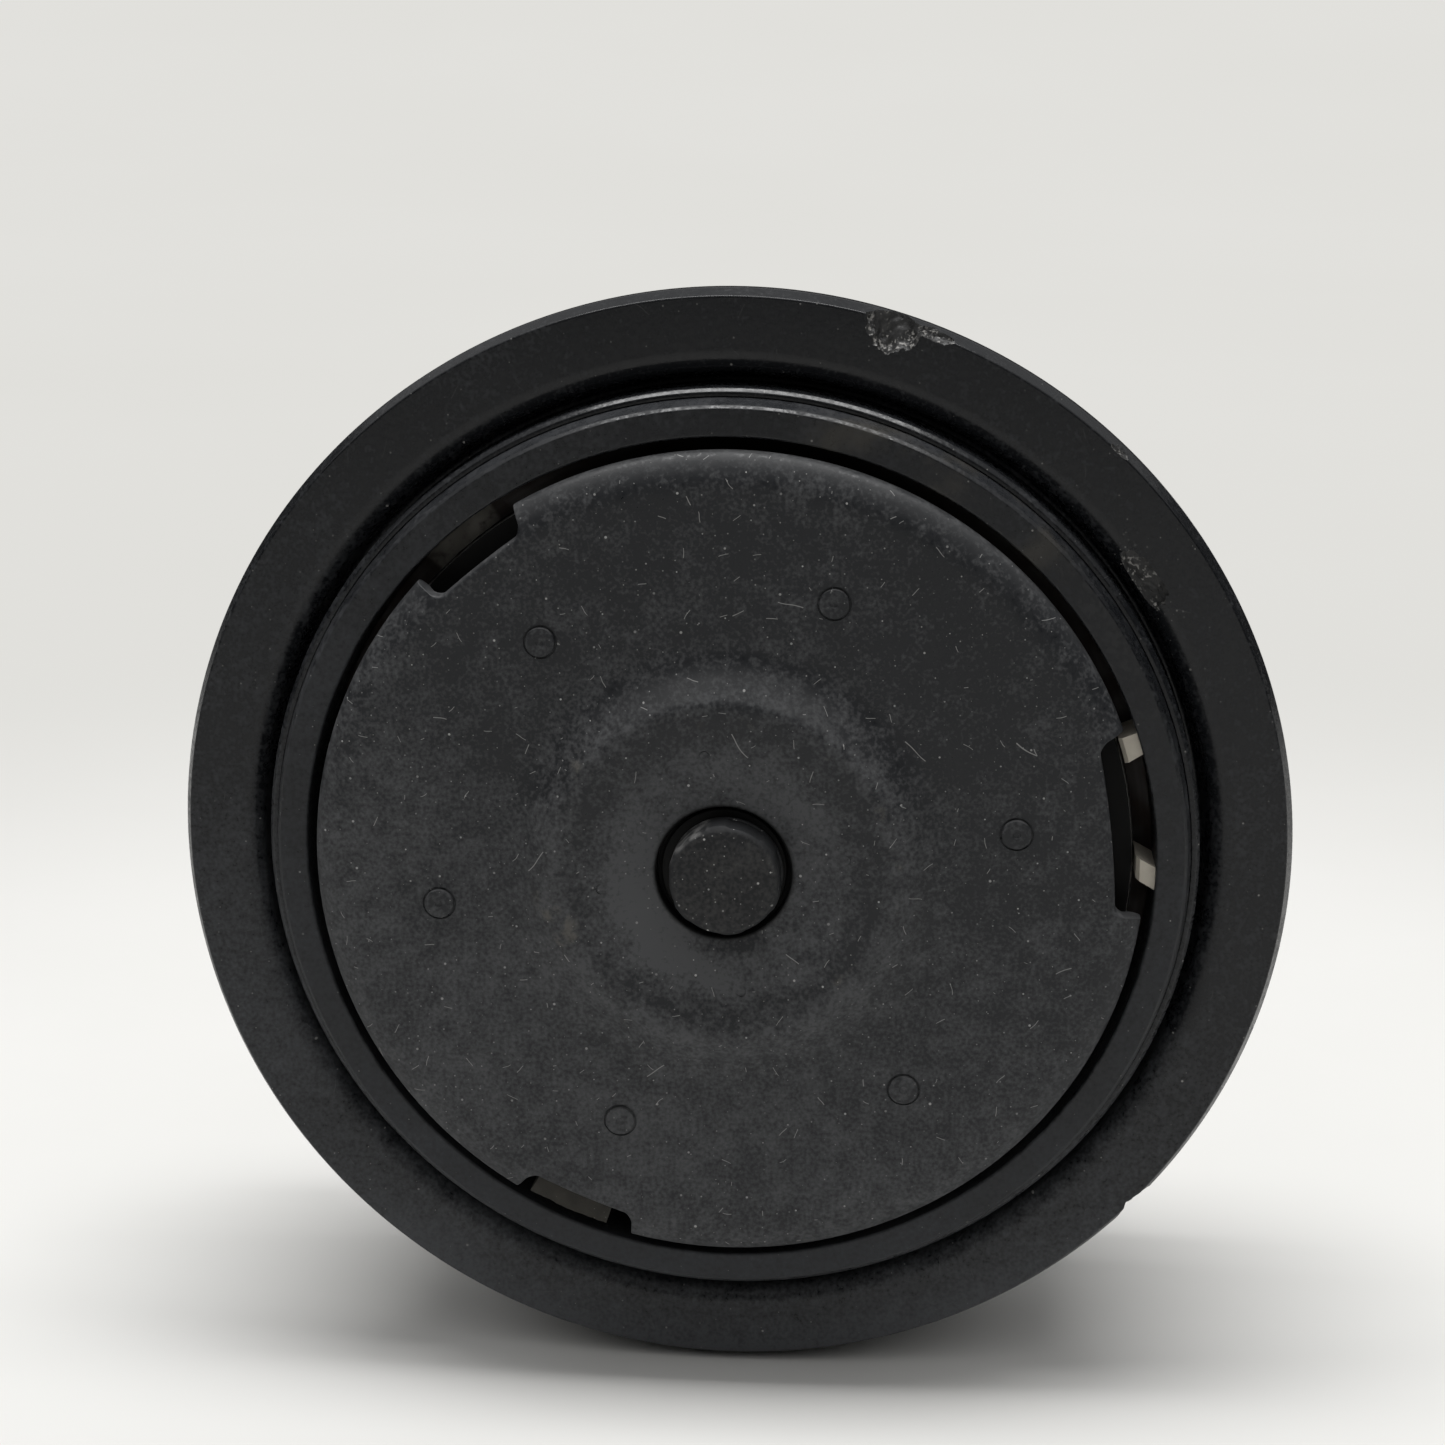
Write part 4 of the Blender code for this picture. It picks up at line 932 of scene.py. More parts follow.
def cast_resin():
    """Brown potting resin."""
    finish = Finish("cast_resin")
    colour = finish.mix((0.10, 0.05, 0.025, 1.0), (0.20, 0.10, 0.05, 1.0), finish.noise(0.006, 5.0))
    finish.bumps(finish.noise(0.004, 2.0), 0.0001, 0.4)
    return finish.done(colour, finish.noise(0.003).scaled(0.2, 0.4))


def natural_nylon():
    """Cream nylon of the cage and bobbin."""
    finish = Finish("natural_nylon", {"Subsurface Weight": 0.1})
    colour = finish.mix((0.50, 0.45, 0.35, 1.0), (0.60, 0.55, 0.44, 1.0), finish.noise(0.006, 4.0))
    finish.bumps(finish.noise(0.0008), 0.00002, 0.4)
    return finish.done(colour, finish.noise(0.002).scaled(0.4, 0.55))


def black_rubber():
    """Seal and stop rubber with a chalky bloom."""
    finish = Finish("black_rubber")
    bloom = finish.noise(0.004, 7.0).rise(0.45, 0.75)
    colour = finish.mix(grey(0.014), grey(0.07, 0.05), bloom * 0.35)
    finish.bumps(finish.noise(0.0006, 4.0), 0.00004, 0.6)
    return finish.done(colour, finish.noise(0.002).scaled(0.6, 0.8))


def tinned_brass():
    """Brass of the terminal blades and the shim."""
    finish = Finish("tinned_brass", {"Metallic": 1.0})
    tarnish = finish.noise(0.003, 6.0).rise(0.45, 0.7)
    colour = finish.mix((0.66, 0.50, 0.25, 1.0), (0.40, 0.28, 0.13, 1.0), tarnish)
    finish.bumps(finish.noise(0.0005), 0.00001, 0.5)
    return finish.done(colour, tarnish.scaled(0.25, 0.45))


def dried_putty():
    """Pale balance putty."""
    finish = Finish("dried_putty")
    colour = finish.mix((0.46, 0.42, 0.35, 1.0), (0.62, 0.58, 0.50, 1.0), finish.noise(0.0012, 5.0))
    finish.bumps(finish.noise(0.0006, 4.0), 0.00006, 0.6)
    return finish.done(colour, finish.noise(0.001).scaled(0.7, 0.9))


def caked_dirt():
    """Brown-grey dirt."""
    finish = Finish("caked_dirt", {"Specular IOR Level": 0.2})
    colour = finish.mix(grey(0.016, 0.06), grey(0.040, 0.16), finish.noise(0.0016, 6.0))
    colour = finish.mix(colour, grey(0.30, 0.05), finish.specks(0.0012, 0.00010, 0.4) * 0.5)
    finish.bumps(finish.noise(0.0004, 5.0), 0.00008, 0.7)
    return finish.done(colour, finish.noise(0.001).scaled(0.8, 0.95))


def pale_floor():
    """Off-white floor with a faint mottle. Far from the object it is an even pale backdrop."""
    finish = Finish("pale_floor", {"Specular IOR Level": 0.1})
    across, deep, _ = finish.parts("XYZ", finish.place)
    ground = finish.value("CombineXYZ", {0: across, 1: deep})
    away = finish.value("VectorMath", {0: ground}, "Value", operation='LENGTH')
    colour = finish.mix((0.77, 0.765, 0.74, 1.0), (0.81, 0.805, 0.785, 1.0), finish.noise(0.05, 6.0))
    colour = finish.mix(colour, grey(0.10, 0.05), away.rise(TABLE_EDGE, TABLE_END))
    material = finish.done(colour, finish.noise(0.02).scaled(0.7, 0.8))
    tone = finish.mix((0.735, 0.728, 0.695, 1.0), (0.775, 0.768, 0.742, 1.0), finish.noise(0.5, 4.0))
    seen = finish.value("LightPath", {}, "Is Camera Ray")
    factor = away.rise(BACKDROP_START, BACKDROP_FULL) * seen
    glow = finish.value("Emission", {"Color": tone, "Strength": 1.0})
    both = finish.value("MixShader", {0: factor, 1: Value(finish, finish.shader.outputs[0]), 2: glow})
    finish.feed(finish.tree.nodes["Material Output"].inputs["Surface"], both)
    return material


FINISHES = {
    "moulded": moulded_plastic(),
    "broken": broken_plastic(),
    "cover": cover_plastic(),
    "coated": coated_steel(),
    "rusty": rusty_steel(),
    "bolt": bolt_steel(),
    "dark": worked_steel("dark_steel", grey(0.10, 0.05), grey(0.19, 0.05), 0.38, 0.55),
    "armature": armature_steel(),
    "worn": worked_steel("worn_steel", grey(0.20), grey(0.34, 0.04), 0.35, 0.5),
    "bearing": worked_steel("bearing_steel", grey(0.50), grey(0.60), 0.14, 0.28, 0.0002),
    "zinc": worked_steel("zinc_steel", grey(0.42, 0.10), grey(0.56, 0.06), 0.30, 0.48, 0.0008),
    "spring": worked_steel("spring_steel", (0.20, 0.22, 0.26, 1.0), (0.33, 0.34, 0.36, 1.0), 0.28, 0.42),
    "rivet": worked_steel("rivet_steel", grey(0.36, 0.04), grey(0.46, 0.04), 0.25, 0.42),
    "copper": copper_wire(),
    "resin": cast_resin(),
    "nylon": natural_nylon(),
    "rubber": black_rubber(),
    "brass": tinned_brass(),
    "putty": dried_putty(),
    "dirt": caked_dirt(),
}


def coloured(mesh, finish):
    """Mesh with one finish."""
    mesh.materials.clear()
    mesh.materials.append(FINISHES[finish])
    return mesh


def painted(mesh, finishes, chooser):
    """Give each face one of several finishes, by a chooser that gets the face."""
    mesh.materials.clear()
    for finish in finishes:
        mesh.materials.append(FINISHES[finish])
    for face in mesh.polygons:
        face.material_index = chooser(face)
    return mesh


def shown(name, mesh, finish=None):
    """Object of a finished mesh, smooth but for its sharp edges. Without a finish it keeps its own."""
    if finish:
        coloured(mesh, finish)
    mesh.transform(TO_FRAME)
    mesh.shade_smooth()
    mesh.set_sharp_from_angle(angle=SMOOTH_ANGLE)
    piece = bpy.data.objects.new(name, mesh)
    bpy.context.scene.collection.objects.link(piece)
    piece.modifiers.new("Even shading", 'WEIGHTED_NORMAL').keep_sharp = True
    return piece


def dress(node, mesh, finish=None, crossing=None):
    """Finished piece that stands for a CAD node and rides on its body, or stays fixed where it lies between
    two bodies.
    """
    piece = shown(node + "_finished", mesh, finish)
    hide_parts(node)
    if crossing:
        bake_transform(piece)
    else:
        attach(piece, frame["nodes"][node]["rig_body"])


def chip(angle, radius, height, along, inward, back, seed):
    """Lumpy ellipsoid that leaves a broken surface where it cuts."""
    work = bmesh.new()
    bmesh.ops.create_icosphere(work, subdivisions=CHIP_FACETS, radius=1.0)
    offset = Vector([seed * step for step in CHIP_SEEDS])
    coarse, middling, fine = CHIP_SCALES
    for vertex in work.verts:
        direction = vertex.co.normalized()
        lumps = noise.noise(direction * coarse + offset) + 0.5 * noise.noise(direction * middling + offset)
        grain = noise.fractal(direction * fine + offset, *CHIP_FRACTAL)
        vertex.co = direction * (1.0 + CHIP_ROUGHNESS * lumps + CHIP_GRAIN * grain)
    turn = Matrix.Rotation(math.radians(angle), 4, 'Z')
    place = turn @ Matrix.Translation((radius, 0.0, height)) @ Matrix.Diagonal((inward, along, back, 1.0))
    bmesh.ops.transform(work, matrix=place, verts=work.verts)
    return finished(work)


def belt_corners(belt, front):
    """Profile of the belt's grooves, from front to rear."""
    root = belt - GROOVE_DEPTH
    half_root = GROOVE_ROOT / 2
    half_mouth = half_root + GROOVE_DEPTH * math.tan(GROOVE_ANGLE / 2)
    corners = []
    for i in range(GROOVES):
        middle = front - (i + 0.5) * GROOVE_PITCH
        corners += [
            (belt, middle + half_mouth, 0.3), (root, middle + half_root, 0.25),
            (root, middle - half_root, 0.25), (belt, middle - half_mouth, 0.3),
        ]
    return corners


def build_pulley():
    """Moulded pulley: belt grooves between two flanges, a collar, and the places where it has chipped."""
    rim, rotor = span("pulley_rim"), span("rotor")
    bore = rotor.outer + SEAM
    lip = rotor.outer + COLLAR_LIP_GAP
    collar = rotor.outer + COLLAR_WIDTH
    belt = rim.outer - FLANGE_HEIGHT
    flange = rim.front - FLANGE_FRONT
    cove = flange - COVE_DEPTH
    face_edge = rim.outer - FLANGE_DRAFT
    land = flange - FLANGE_TAPER
    belt_front = land - FLANGE_LAND - FLANGE_RISE
    rear_flange = belt + REAR_FLANGE_HEIGHT
    belt_rear = rim.rear + REAR_FLANGE_WIDTH
    rib = middle_of("bearing_outer_ring")
    rib_rear, rib_front = rib - RIB_WIDTH / 2, rib + RIB_WIDTH / 2
    body = turned([
        (lip, rim.front, 0.08), (collar - COLLAR_CHAMFER, rim.front, 0.1),
        (collar, rim.front - COLLAR_CHAMFER_DEPTH, 0.12), (collar, cove, 0.2),
        (collar + COVE_WIDTH, cove, 0.2), (collar + COVE_WIDTH + COVE_FLARE, flange - FLANGE_DISH, 1.5),
        (face_edge - FLANGE_KNEE, flange - FLANGE_KNEE_DEPTH, 0.9), (face_edge, flange, 0.16),
        (rim.outer, land, 0.16), (rim.outer, land - FLANGE_LAND, 0.2), (belt, belt_front, 0.5),
        *belt_corners(belt, belt_front),
        (belt, belt_rear, 0.4), (rear_flange, belt_rear - REAR_FLANGE_RISE, 0.2),
        (rear_flange, rim.rear, 0.3), (bore, rim.rear, 0.3), (bore, rib_rear, 0.1),
        (rim.inner, rib_rear, 0.1), (rim.inner, rib_front, 0.1), (bore, rib_front, 0.1),
        (bore, rim.front - COLLAR_LIP, 0.0), (lip, rim.front - COLLAR_LIP, 0.0),
    ])
    places = [polar((bore + belt) / 2, angle) for angle in spread(EJECTOR_ANGLE, EJECTOR_MARKS)]
    mark = Ring(EJECTOR_RADIUS - EJECTOR_WIDTH, EJECTOR_RADIUS, rim.rear - OVERCUT, rim.rear + EJECTOR_DEPTH)
    cutters = [coloured(rings_at(places, mark), "moulded")]
    for number, (angle, inset, depth, *half_sizes) in enumerate(CHIPS, start=1):
        cutter = chip(angle, rim.outer - inset, flange - depth, *half_sizes, seed=number)
        cutters.append(coloured(cutter, "broken"))
    dress("pulley_rim", carved(coloured(body, "moulded"), *cutters))


def build_rotor():
    """Steel rotor with a coated rim, a rusty friction face and bare inner walls."""
    rotor, shell = span("rotor"), span("coil_shell")
    bearing, snap = span("bearing_outer_ring"), span("bearing_snap_ring")
    inner_wall, cavity = shell.inner - COIL_GAP, shell.outer + COIL_GAP
    wall_back = shell.front + WALL_GAP
    shroud = span("front_cover").outer + SHROUD_GAP
    friction = span("armature_plate").rear - AIR_GAP
    bore, lip = bearing.outer + SEAM, bearing.front + SEAM
    snap_outer, snap_rear = snap.outer + SEAM, snap.rear - SEAM
    rib = middle_of("bearing_outer_ring")
    half_rib = RIB_WIDTH / 2 + SEAM
    groove = rotor.outer - RIB_DEPTH
    mesh = turned([
        (shroud, rotor.front, 0.3), (rotor.outer - RIM_LAND, rotor.front, 0.1),
        (rotor.outer - RIM_CHAMFER, rotor.front - RIM_CHAMFER_DEPTH, 0.12),
        (rotor.outer, rotor.front - RIM_TAPER, 0.2),
        (rotor.outer, rib + half_rib, 0.1), (groove, rib + half_rib, 0.1), (groove, rib - half_rib, 0.1),
        (rotor.outer, rib - half_rib, 0.1), (rotor.outer, rotor.rear, 0.3), (cavity, rotor.rear, 0.3),
        (cavity, wall_back, 0.6), (inner_wall, wall_back, 0.6), (inner_wall, rotor.rear, 0.3),
        (bore, rotor.rear, 0.5), (bore, snap_rear, 0.1), (snap_outer, snap_rear, 0.1),
        (snap_outer, bearing.rear, 0.1), (bore, bearing.rear, 0.1), (bore, lip, 0.2),
        (rotor.inner, lip, 0.3), (rotor.inner, friction, 0.3), (shroud, friction, 0.3),
    ])

    def finish_of(face):
        if face.normal.z > 0.5 and abs(face.center.z - friction) < RUSTY_BAND:
            return 1
        if face.center.xy.length < shroud - BARE_MARGIN and face.center.z < friction - BARE_DEPTH:
            return 2
        return 0

    mesh = carved(mesh, curved_slots(ROTOR_SLOT, wall_back, friction))
    dress("rotor", painted(mesh, ("coated", "rusty", "dark"), finish_of))
    build_putty(shroud - PUTTY_SEAM, friction + PUTTY_SEAM, rotor.front - PUTTY_DEPTH)


def build_putty(shroud, bottom, top):
    """Two dabs of balance putty in the corner of the rotor's rim."""
    for number, (inside, outside) in enumerate(PUTTY, start=1):
        sections = []
        for share in shares(PUTTY_POINTS):
            inner = polar(PUTTY_INNER, math.radians(part_way(*inside, share)))
            outer = polar(shroud, math.radians(part_way(*outside, share)))
            crest = inner.lerp(outer, PUTTY_SLOPE)
            sections.append([
                (*outer, bottom), (*inner, bottom), (*inner, top - PUTTY_EDGE), (*crest, top), (*outer, top),
            ])
        dab = shown(f"balance_putty_{number}", strip(sections), "putty")
        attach(dab, "rotor")


def notch_share(angle, start, end):
    """How far an angle is inside a notch, from 0 to 1 with round corners, and how far off its middle."""
    middle = (start + end) / 2
    away = (angle - middle + math.pi) % math.tau - math.pi
    inside = min(max(((end - start) / 2 - abs(away)) / NOTCH_ROUND, 0.0), 1.0)
    corner = min(inside / NOTCH_LIP, 1.0)
    return math.sqrt(1.0 - (1.0 - inside) ** 2) * corner * corner * (3.0 - 2.0 * corner), away


def cover_edge(angle, full_radius):
    """Radius of the cover's edge, which is smaller in the notches."""
    radius = full_radius
    for start, end in NOTCHES:
        start, end = math.radians(start), math.radians(end)
        share, away = notch_share(angle, start, end)
        chord = math.cos((end - start) / 2) / math.cos(away) if share else 1.0
        inner = (full_radius - NOTCH_DEPTH) * (1.0 + NOTCH_CHORD * (chord - 1.0))
        radius -= share * (full_radius - inner)
    return radius


def cover_height(flat, radius, wall=0.0):
    """Height of the cover's flat and round shoulder at a radius, on its outside or a wall further in."""
    beyond = max(radius - SHOULDER_START, 0.0)
    return flat - SHOULDER_RADIUS + math.sqrt((SHOULDER_RADIUS - wall) ** 2 - beyond ** 2)


def cover_angles():
    """Angles of the cover's sections, closer together at the corners of the notches."""
    angles = set(spread(0.0, STEPS))
    for ends in NOTCHES:
        for corner, inwards in zip(ends, (1, -1)):
            for share in shares(NOTCH_POINTS):
                angles.add((math.radians(corner) + inwards * NOTCH_ROUND * share ** 2) % math.tau)
    return sorted(angles)


def cover_shell(cover, flat, dish, edge_rear):
    """Wall of the cover: a raised centre ring, a flat, and a round shoulder cut back in the notches."""
    ridge, hole = cover.front, cover.front - HOLE_DEPTH
    inside = flat - COVER_WALL
    front = rounded([
        (cover.inner, hole, 0.0), (DISH_RADIUS, dish, 2.0), (RIDGE_INNER, ridge, 1.2),
        (RIDGE_OUTER, ridge, 0.8), (RIDGE_FOOT, flat, 1.7), (SHOULDER_INSIDE, flat, 0.0),
    ])
    front[0:1] = corner_curve(
        (cover.inner, hole - HOLE_ROUND), (cover.inner, hole), (cover.inner + HOLE_ROUND, hole + HOLE_RISE),
    )
    back = rounded([
        (SHOULDER_INSIDE, inside, 0.0), (RIDGE_FOOT - RIDGE_WALL, inside, 1.0),
        (RIDGE_OUTER - RIDGE_WALL, ridge - COVER_WALL, 0.8), (DISH_RADIUS, dish - COVER_WALL, 1.0),
        (cover.inner, hole - COVER_WALL, 0.0),
    ])
    inner_reach = SHOULDER_START + SHOULDER_RADIUS - COVER_WALL - SHOULDER_MARGIN
    steps = shares(SHOULDER_POINTS)[1:-1]

    def height_behind(radius):
        return cover_height(flat, min(radius, inner_reach), COVER_WALL)

    def column(angle):
        edge = cover_edge(angle, cover.outer)
        lip = edge - COVER_LIP
        top = cover_height(flat, edge)
        foot = max(edge_rear, height_behind(edge))
        before = [part_way(SHOULDER_INSIDE, lip, share) for share in steps]
        behind = [part_way(lip, SHOULDER_INSIDE, share) for share in steps]
        return [
            *front,
            *[(radius, cover_height(flat, radius)) for radius in before],
            *corner_curve((lip, cover_height(flat, lip)), (edge, top), (edge, top - COVER_LIP)),
            *corner_curve((edge, foot + EDGE_ROUND), (edge, foot), (edge - EDGE_ROUND, foot)),
            *[(radius, max(foot, height_behind(radius))) for radius in behind],
            *back,
        ]

    return swept([(angle, column(angle)) for angle in cover_angles()])


def build_cover():
    """Cover with edge notches, pips, the pegs behind them, and small ring marks in its dish."""
    cover = span("front_cover")
    flat, dish = cover.front - FLAT_DEPTH, cover.front - DISH_DEPTH
    edge_rear = span("rotor").front - EDGE_DEPTH
    pip_top = flat + PIP_HEIGHT
    dot = pip_top - PIP_DOT_DEPTH
    peg_front = flat - COVER_WALL / 2
    stud = [
        (0.0, dot, 0.0), (PIP_DOT, dot, 0.05), (PIP_DOT + PIP_DOT_SLOPE, pip_top, 0.05),
        (PIP_RADIUS, pip_top, 0.15), (PIP_RADIUS, peg_front, 0.0), (PEG_RADIUS, peg_front, 0.0),
        (PEG_RADIUS, cover.rear, 0.3), (0.0, cover.rear, 0.0),
    ]
    studs = joined([lathed(stud, place) for place in pip_places()])
    groove_outer = PIP_RADIUS + PIP_GROOVE_WIDTH
    groove = Ring(PIP_RADIUS - PIP_OVERLAP, groove_outer, flat - PIP_GROOVE_DEPTH, flat + OVERCUT)
    mark = Ring(MARK_RADIUS - MARK_WIDTH, MARK_RADIUS, dish - MARK_DEPTH, dish + OVERCUT)
    mark_places = [polar(DISH_RADIUS - MARK_INSET, angle) for angle in spread(PIP_ANGLE, MARKS)]
    mesh = carved(cover_shell(cover, flat, dish, edge_rear), rings_at(pip_places(), groove))
    mesh = carved(carved(mesh, studs, operation='UNION'), rings_at(mark_places, mark))
    dress("front_cover", mesh, "cover")
    build_dirt(flat, cover.outer, edge_rear)


def build_dirt(flat, edge, rear):
    """Dirt caked in the lowest notch, a little behind the cover's shoulder."""
    inner, outer = edge - NOTCH_DEPTH - DIRT_UNDER, edge - DIRT_EDGE
    foot = rear + DIRT_FOOT
    sections = []
    for along in shares(SMALL_STEPS):
        angle = math.radians(part_way(*DIRT, along))
        section = [(*polar(outer, angle), foot), (*polar(inner, angle), foot)]
        for across in shares(CORNER_POINTS):
            radius = part_way(inner, outer, across)
            place = polar(radius, angle)
            lump = DIRT_LUMP * noise.noise((place.x * DIRT_GRAIN, place.y * DIRT_GRAIN, 0.5))
            section.append((*place, cover_height(flat, radius) - DIRT_DEPTH + lump))
        sections.append(section)
    cake = shown("notch_dirt", strip(sections), "dirt")
    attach(cake, frame["nodes"]["front_cover"]["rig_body"])


def build_bolt():
    """Hex bolt with its corners turned down, a chamfered face and a real thread."""
    bolt, washer = span("centre_bolt"), span("bolt_washer")
    seat, face = washer.front + SEAM, bolt.front
    flange = seat + BOLT_FLANGE
    shank = max(radii_behind("centre_bolt", washer.rear))
    count = int((seat - bolt.rear - THREAD_ROOM) / THREAD_PITCH * THREAD_POINTS)
    levels = [bolt.rear + THREAD_START + k * THREAD_PITCH / THREAD_POINTS for k in range(count)]

    def column(angle):
        off_flat = (angle - BOLT_TURN) % (math.pi / 3) - math.pi / 6
        side = max(min(BOLT_FLATS / 2 / math.cos(off_flat), BOLT_TURNED), BOLT_WORN)
        chamfer = max(side - BOLT_FACE_RADIUS, BOLT_LEAST_CHAMFER)
        shoulder = face - chamfer * math.tan(BOLT_CHAMFER)
        thread = []
        for height in levels:
            phase = (height / THREAD_PITCH - angle / math.tau) % 1.0
            cut = THREAD_DEPTH * (1.0 - abs(2.0 * phase - 1.0))
            thread.append((shank - cut * min(1.0, (height - bolt.rear) / THREAD_RUN_IN), height))
        return [
            (0.0, bolt.rear), (shank - THREAD_DEPTH - 0.2, bolt.rear), *thread, (shank, seat - 0.3),
            (shank + 0.2, seat), (BOLT_TURNED - 0.2, seat), (BOLT_TURNED, seat + 0.15),
            (BOLT_TURNED, flange - 0.1), (BOLT_TURNED - 0.1, flange), (side, flange + 0.05),
            (side, shoulder - 0.12), (side - 0.05, shoulder), (BOLT_FACE_RADIUS + 0.04, face - 0.06),
            (BOLT_FACE_RADIUS - 0.1, face), (BOLT_FACE_RADIUS * 0.5, face), (0.0, face),
        ]

    mesh = swept([(angle, column(angle)) for angle in spread(0.0, HALF_STEPS)], closed=False)
    dress("centre_bolt", moved(mesh, (BOLT_SHIFT, 0.0)), "bolt")


def spline_cutter(shaft, low, high):
    """Cutter for the hub's splined bore."""
    radii = (shaft - SPLINE_OVERCUT, shaft + SPLINE_DEPTH, shaft + SPLINE_DEPTH, shaft - SPLINE_OVERCUT)
    tooth = math.tau / SPLINE_TEETH
    outline = []
    for angle in spread(0.0, SPLINE_TEETH):
        outline += [polar(radius, angle + share * tooth) for radius, share in zip(radii, SPLINE_SHARES)]
    return prism(outline, low, high)


def build_hub():
    """Hub boss with its drive plate and splined bore."""
    hub = span("hub")
    plate_front = hub.front - HUB_NOSE
    plate_rear = plate_front - HUB_PLATE
    shoulder = hub.front - HUB_WEB
    shaft = min(radii_behind("hub", plate_rear))
    body = turned([
        (hub.inner, hub.front, 0.3), (BOSS_RADIUS, hub.front, 0.5), (BOSS_RADIUS, plate_front, 0.6),
        (hub.outer, plate_front, 0.35), (hub.outer, plate_rear, 0.35), (BOSS_RADIUS, plate_rear, 0.6),
        (BOSS_RADIUS, hub.rear, 0.6), (shaft, hub.rear, 0.6),
        (shaft, shoulder, 0.1), (hub.inner, shoulder, 0.2),
    ])
    holes = (
        (places_of("hub_rivet"), RIVET_HOLE), (places_of("armature_rivet"), RIVET_WINDOW),
        (places_of("stop_rubber"), STOP_HOLE), (pip_places(), PEG_HOLE),
    )
    cutters = [spline_cutter(shaft, hub.rear - OVERCUT, shoulder - SPLINE_END)]
    cutters += [drills(places, radius, plate_rear, plate_front) for places, radius in holes]

    # Painted shade: the hub's nose, seen through the gap around the bolt, gets the near-black finish
    def finish_of(face):
        return 1 if face.center.z > hub.front - HUB_DARK else 0

    dress("hub", painted(carved(body, *cutters), ("dark", "armature"), finish_of))


def build_fixings():
    """Washer, shim, rivets and rubber stops."""
    dress("bolt_washer", plain_ring(span("bolt_washer"), 0.2, HALF_STEPS), "armature")
    dress("gap_shim", plain_ring(span("gap_shim"), 0.08, HALF_STEPS), "brass")
    for number in NUMBERS:
        add_rivet(f"hub_rivet_{number}")
        add_rivet(f"armature_rivet_{number}")
        add_stop(f"stop_rubber_{number}")


def add_rivet(node):
    """Rivet with one domed and one set head."""
    *_, rear, front = span(node)
    head = head_radius(node)
    mouth, floor = [head * share for share in RIVET_DIMPLE_SHARES]
    front_head, rear_head, dimple = front - RIVET_HEAD, rear + RIVET_HEAD, rear + RIVET_DIMPLE
    profile = [
        (0.0, front, 0.0), (head * RIVET_TOP, front, 0.5), (head, front - RIVET_HEAD * RIVET_DOME, 0.25),
        (head, front_head, 0.1), (RIVET_SHANK, front_head, 0.1), (RIVET_SHANK, rear_head, 0.1),
        (head, rear_head, 0.1), (head, rear, 0.3), (mouth, rear, 0.2), (floor, dimple, 0.2),
        (0.0, dimple, 0.0),
    ]
    dress(node, lathed(profile, place_of(node)), "rivet")


def add_stop(node):
    """Rubber stop with a rounded head."""
    *_, rear, front = span(node)
    head = head_radius(node)
    profile = [
        (0.0, front, 0.0), (head, front, 0.5), (head, front - RUBBER_HEAD, 0.15),
        (RUBBER_STEM, front - RUBBER_HEAD, 0.1), (RUBBER_STEM, rear, 0.5), (0.0, rear, 0.0),
    ]
    dress(node, lathed(profile, place_of(node)), "rubber")


def build_springs():
    """Leaf springs that reach flat from their hub rivet to their armature rivet, sliced across their length.
    """
    *_, rear, front = span("leaf_spring_1")
    half_turn = [share * math.pi for share in shares(SMALL_STEPS)]
    for number, start, end in zip(NUMBERS, places_of("hub_rivet"), places_of("armature_rivet")):
        length = (end - start).length
        angle = math.atan2(end.y - start.y, end.x - start.x)
        far = Vector((length, 0.0))
        outline = [polar(SPRING_HALF_WIDTH, turn + math.pi / 2) for turn in half_turn]
        outline += [polar(SPRING_HALF_WIDTH, turn - math.pi / 2) + far for turn in half_turn]
        holes = drills([(0.0, 0.0), (length, 0.0)], RIVET_HOLE, rear, front, SPRING_EDGE)
        work = bmesh.new()
        work.from_mesh(carved(prism(outline, rear, front, SPRING_EDGE), holes))
        for k in range(1, SPRING_BENDS):
            geometry = [*work.verts, *work.edges, *work.faces]
            bend = (length * k / SPRING_BENDS, 0.0, 0.0)
            bmesh.ops.bisect_plane(work, geom=geometry, dist=0.0001, plane_co=bend, plane_no=(1.0, 0.0, 0.0))
        mesh = moved(finished(work), start, angle)
        ends = [TO_FRAME @ Vector((*start.lerp(end, share), rear)) for share in SPRING_HELD]
        dress(f"leaf_spring_{number}", mesh, "spring", ("hub", "armature", *ends))


def build_armature():
    """Armature plate with slots, holes and seats for the rivets."""
    plate = span("armature_plate")
    body = turned([
        (plate.inner, plate.front, 0.4), (plate.outer, plate.front, 0.3),
        (plate.outer, plate.rear, 0.3), (plate.inner, plate.rear, 0.4),
    ])
    own_rivets = places_of("armature_rivet")
    seat = Ring(0.0, RIVET_ROOM, plate.rear - OVERCUT, plate.rear + RIVET_SEAT)
    body = carved(
        body,
        drills(places_of("hub_rivet"), RIVET_ROOM, plate.rear, plate.front),
        drills(own_rivets, RIVET_HOLE, plate.rear, plate.front),
        rings_at(own_rivets, seat),
        curved_slots(ARMATURE_SLOT, plate.rear, plate.front),
    )

    def finish_of(face):
        sloping = WORN_SLOPES[0] < face.normal.z < WORN_SLOPES[1]
        return 1 if sloping and face.center.xy.length > plate.outer - WORN_EDGE else 0

    dress("armature_plate", painted(body, ("armature", "worn"), finish_of))


def race(row, side, pitch):
    """Rounded groove for one row of balls, from its front shoulder to its rear one."""
    half = math.acos((BALL_RADIUS - RACE_SHOULDER) / RACE_RADIUS)
    angles = [half - k * 2 * half / RACE_POINTS for k in range(RACE_POINTS + 1)]
    return [(pitch + side * RACE_RADIUS * math.cos(a), row + RACE_RADIUS * math.sin(a), 0.0) for a in angles]


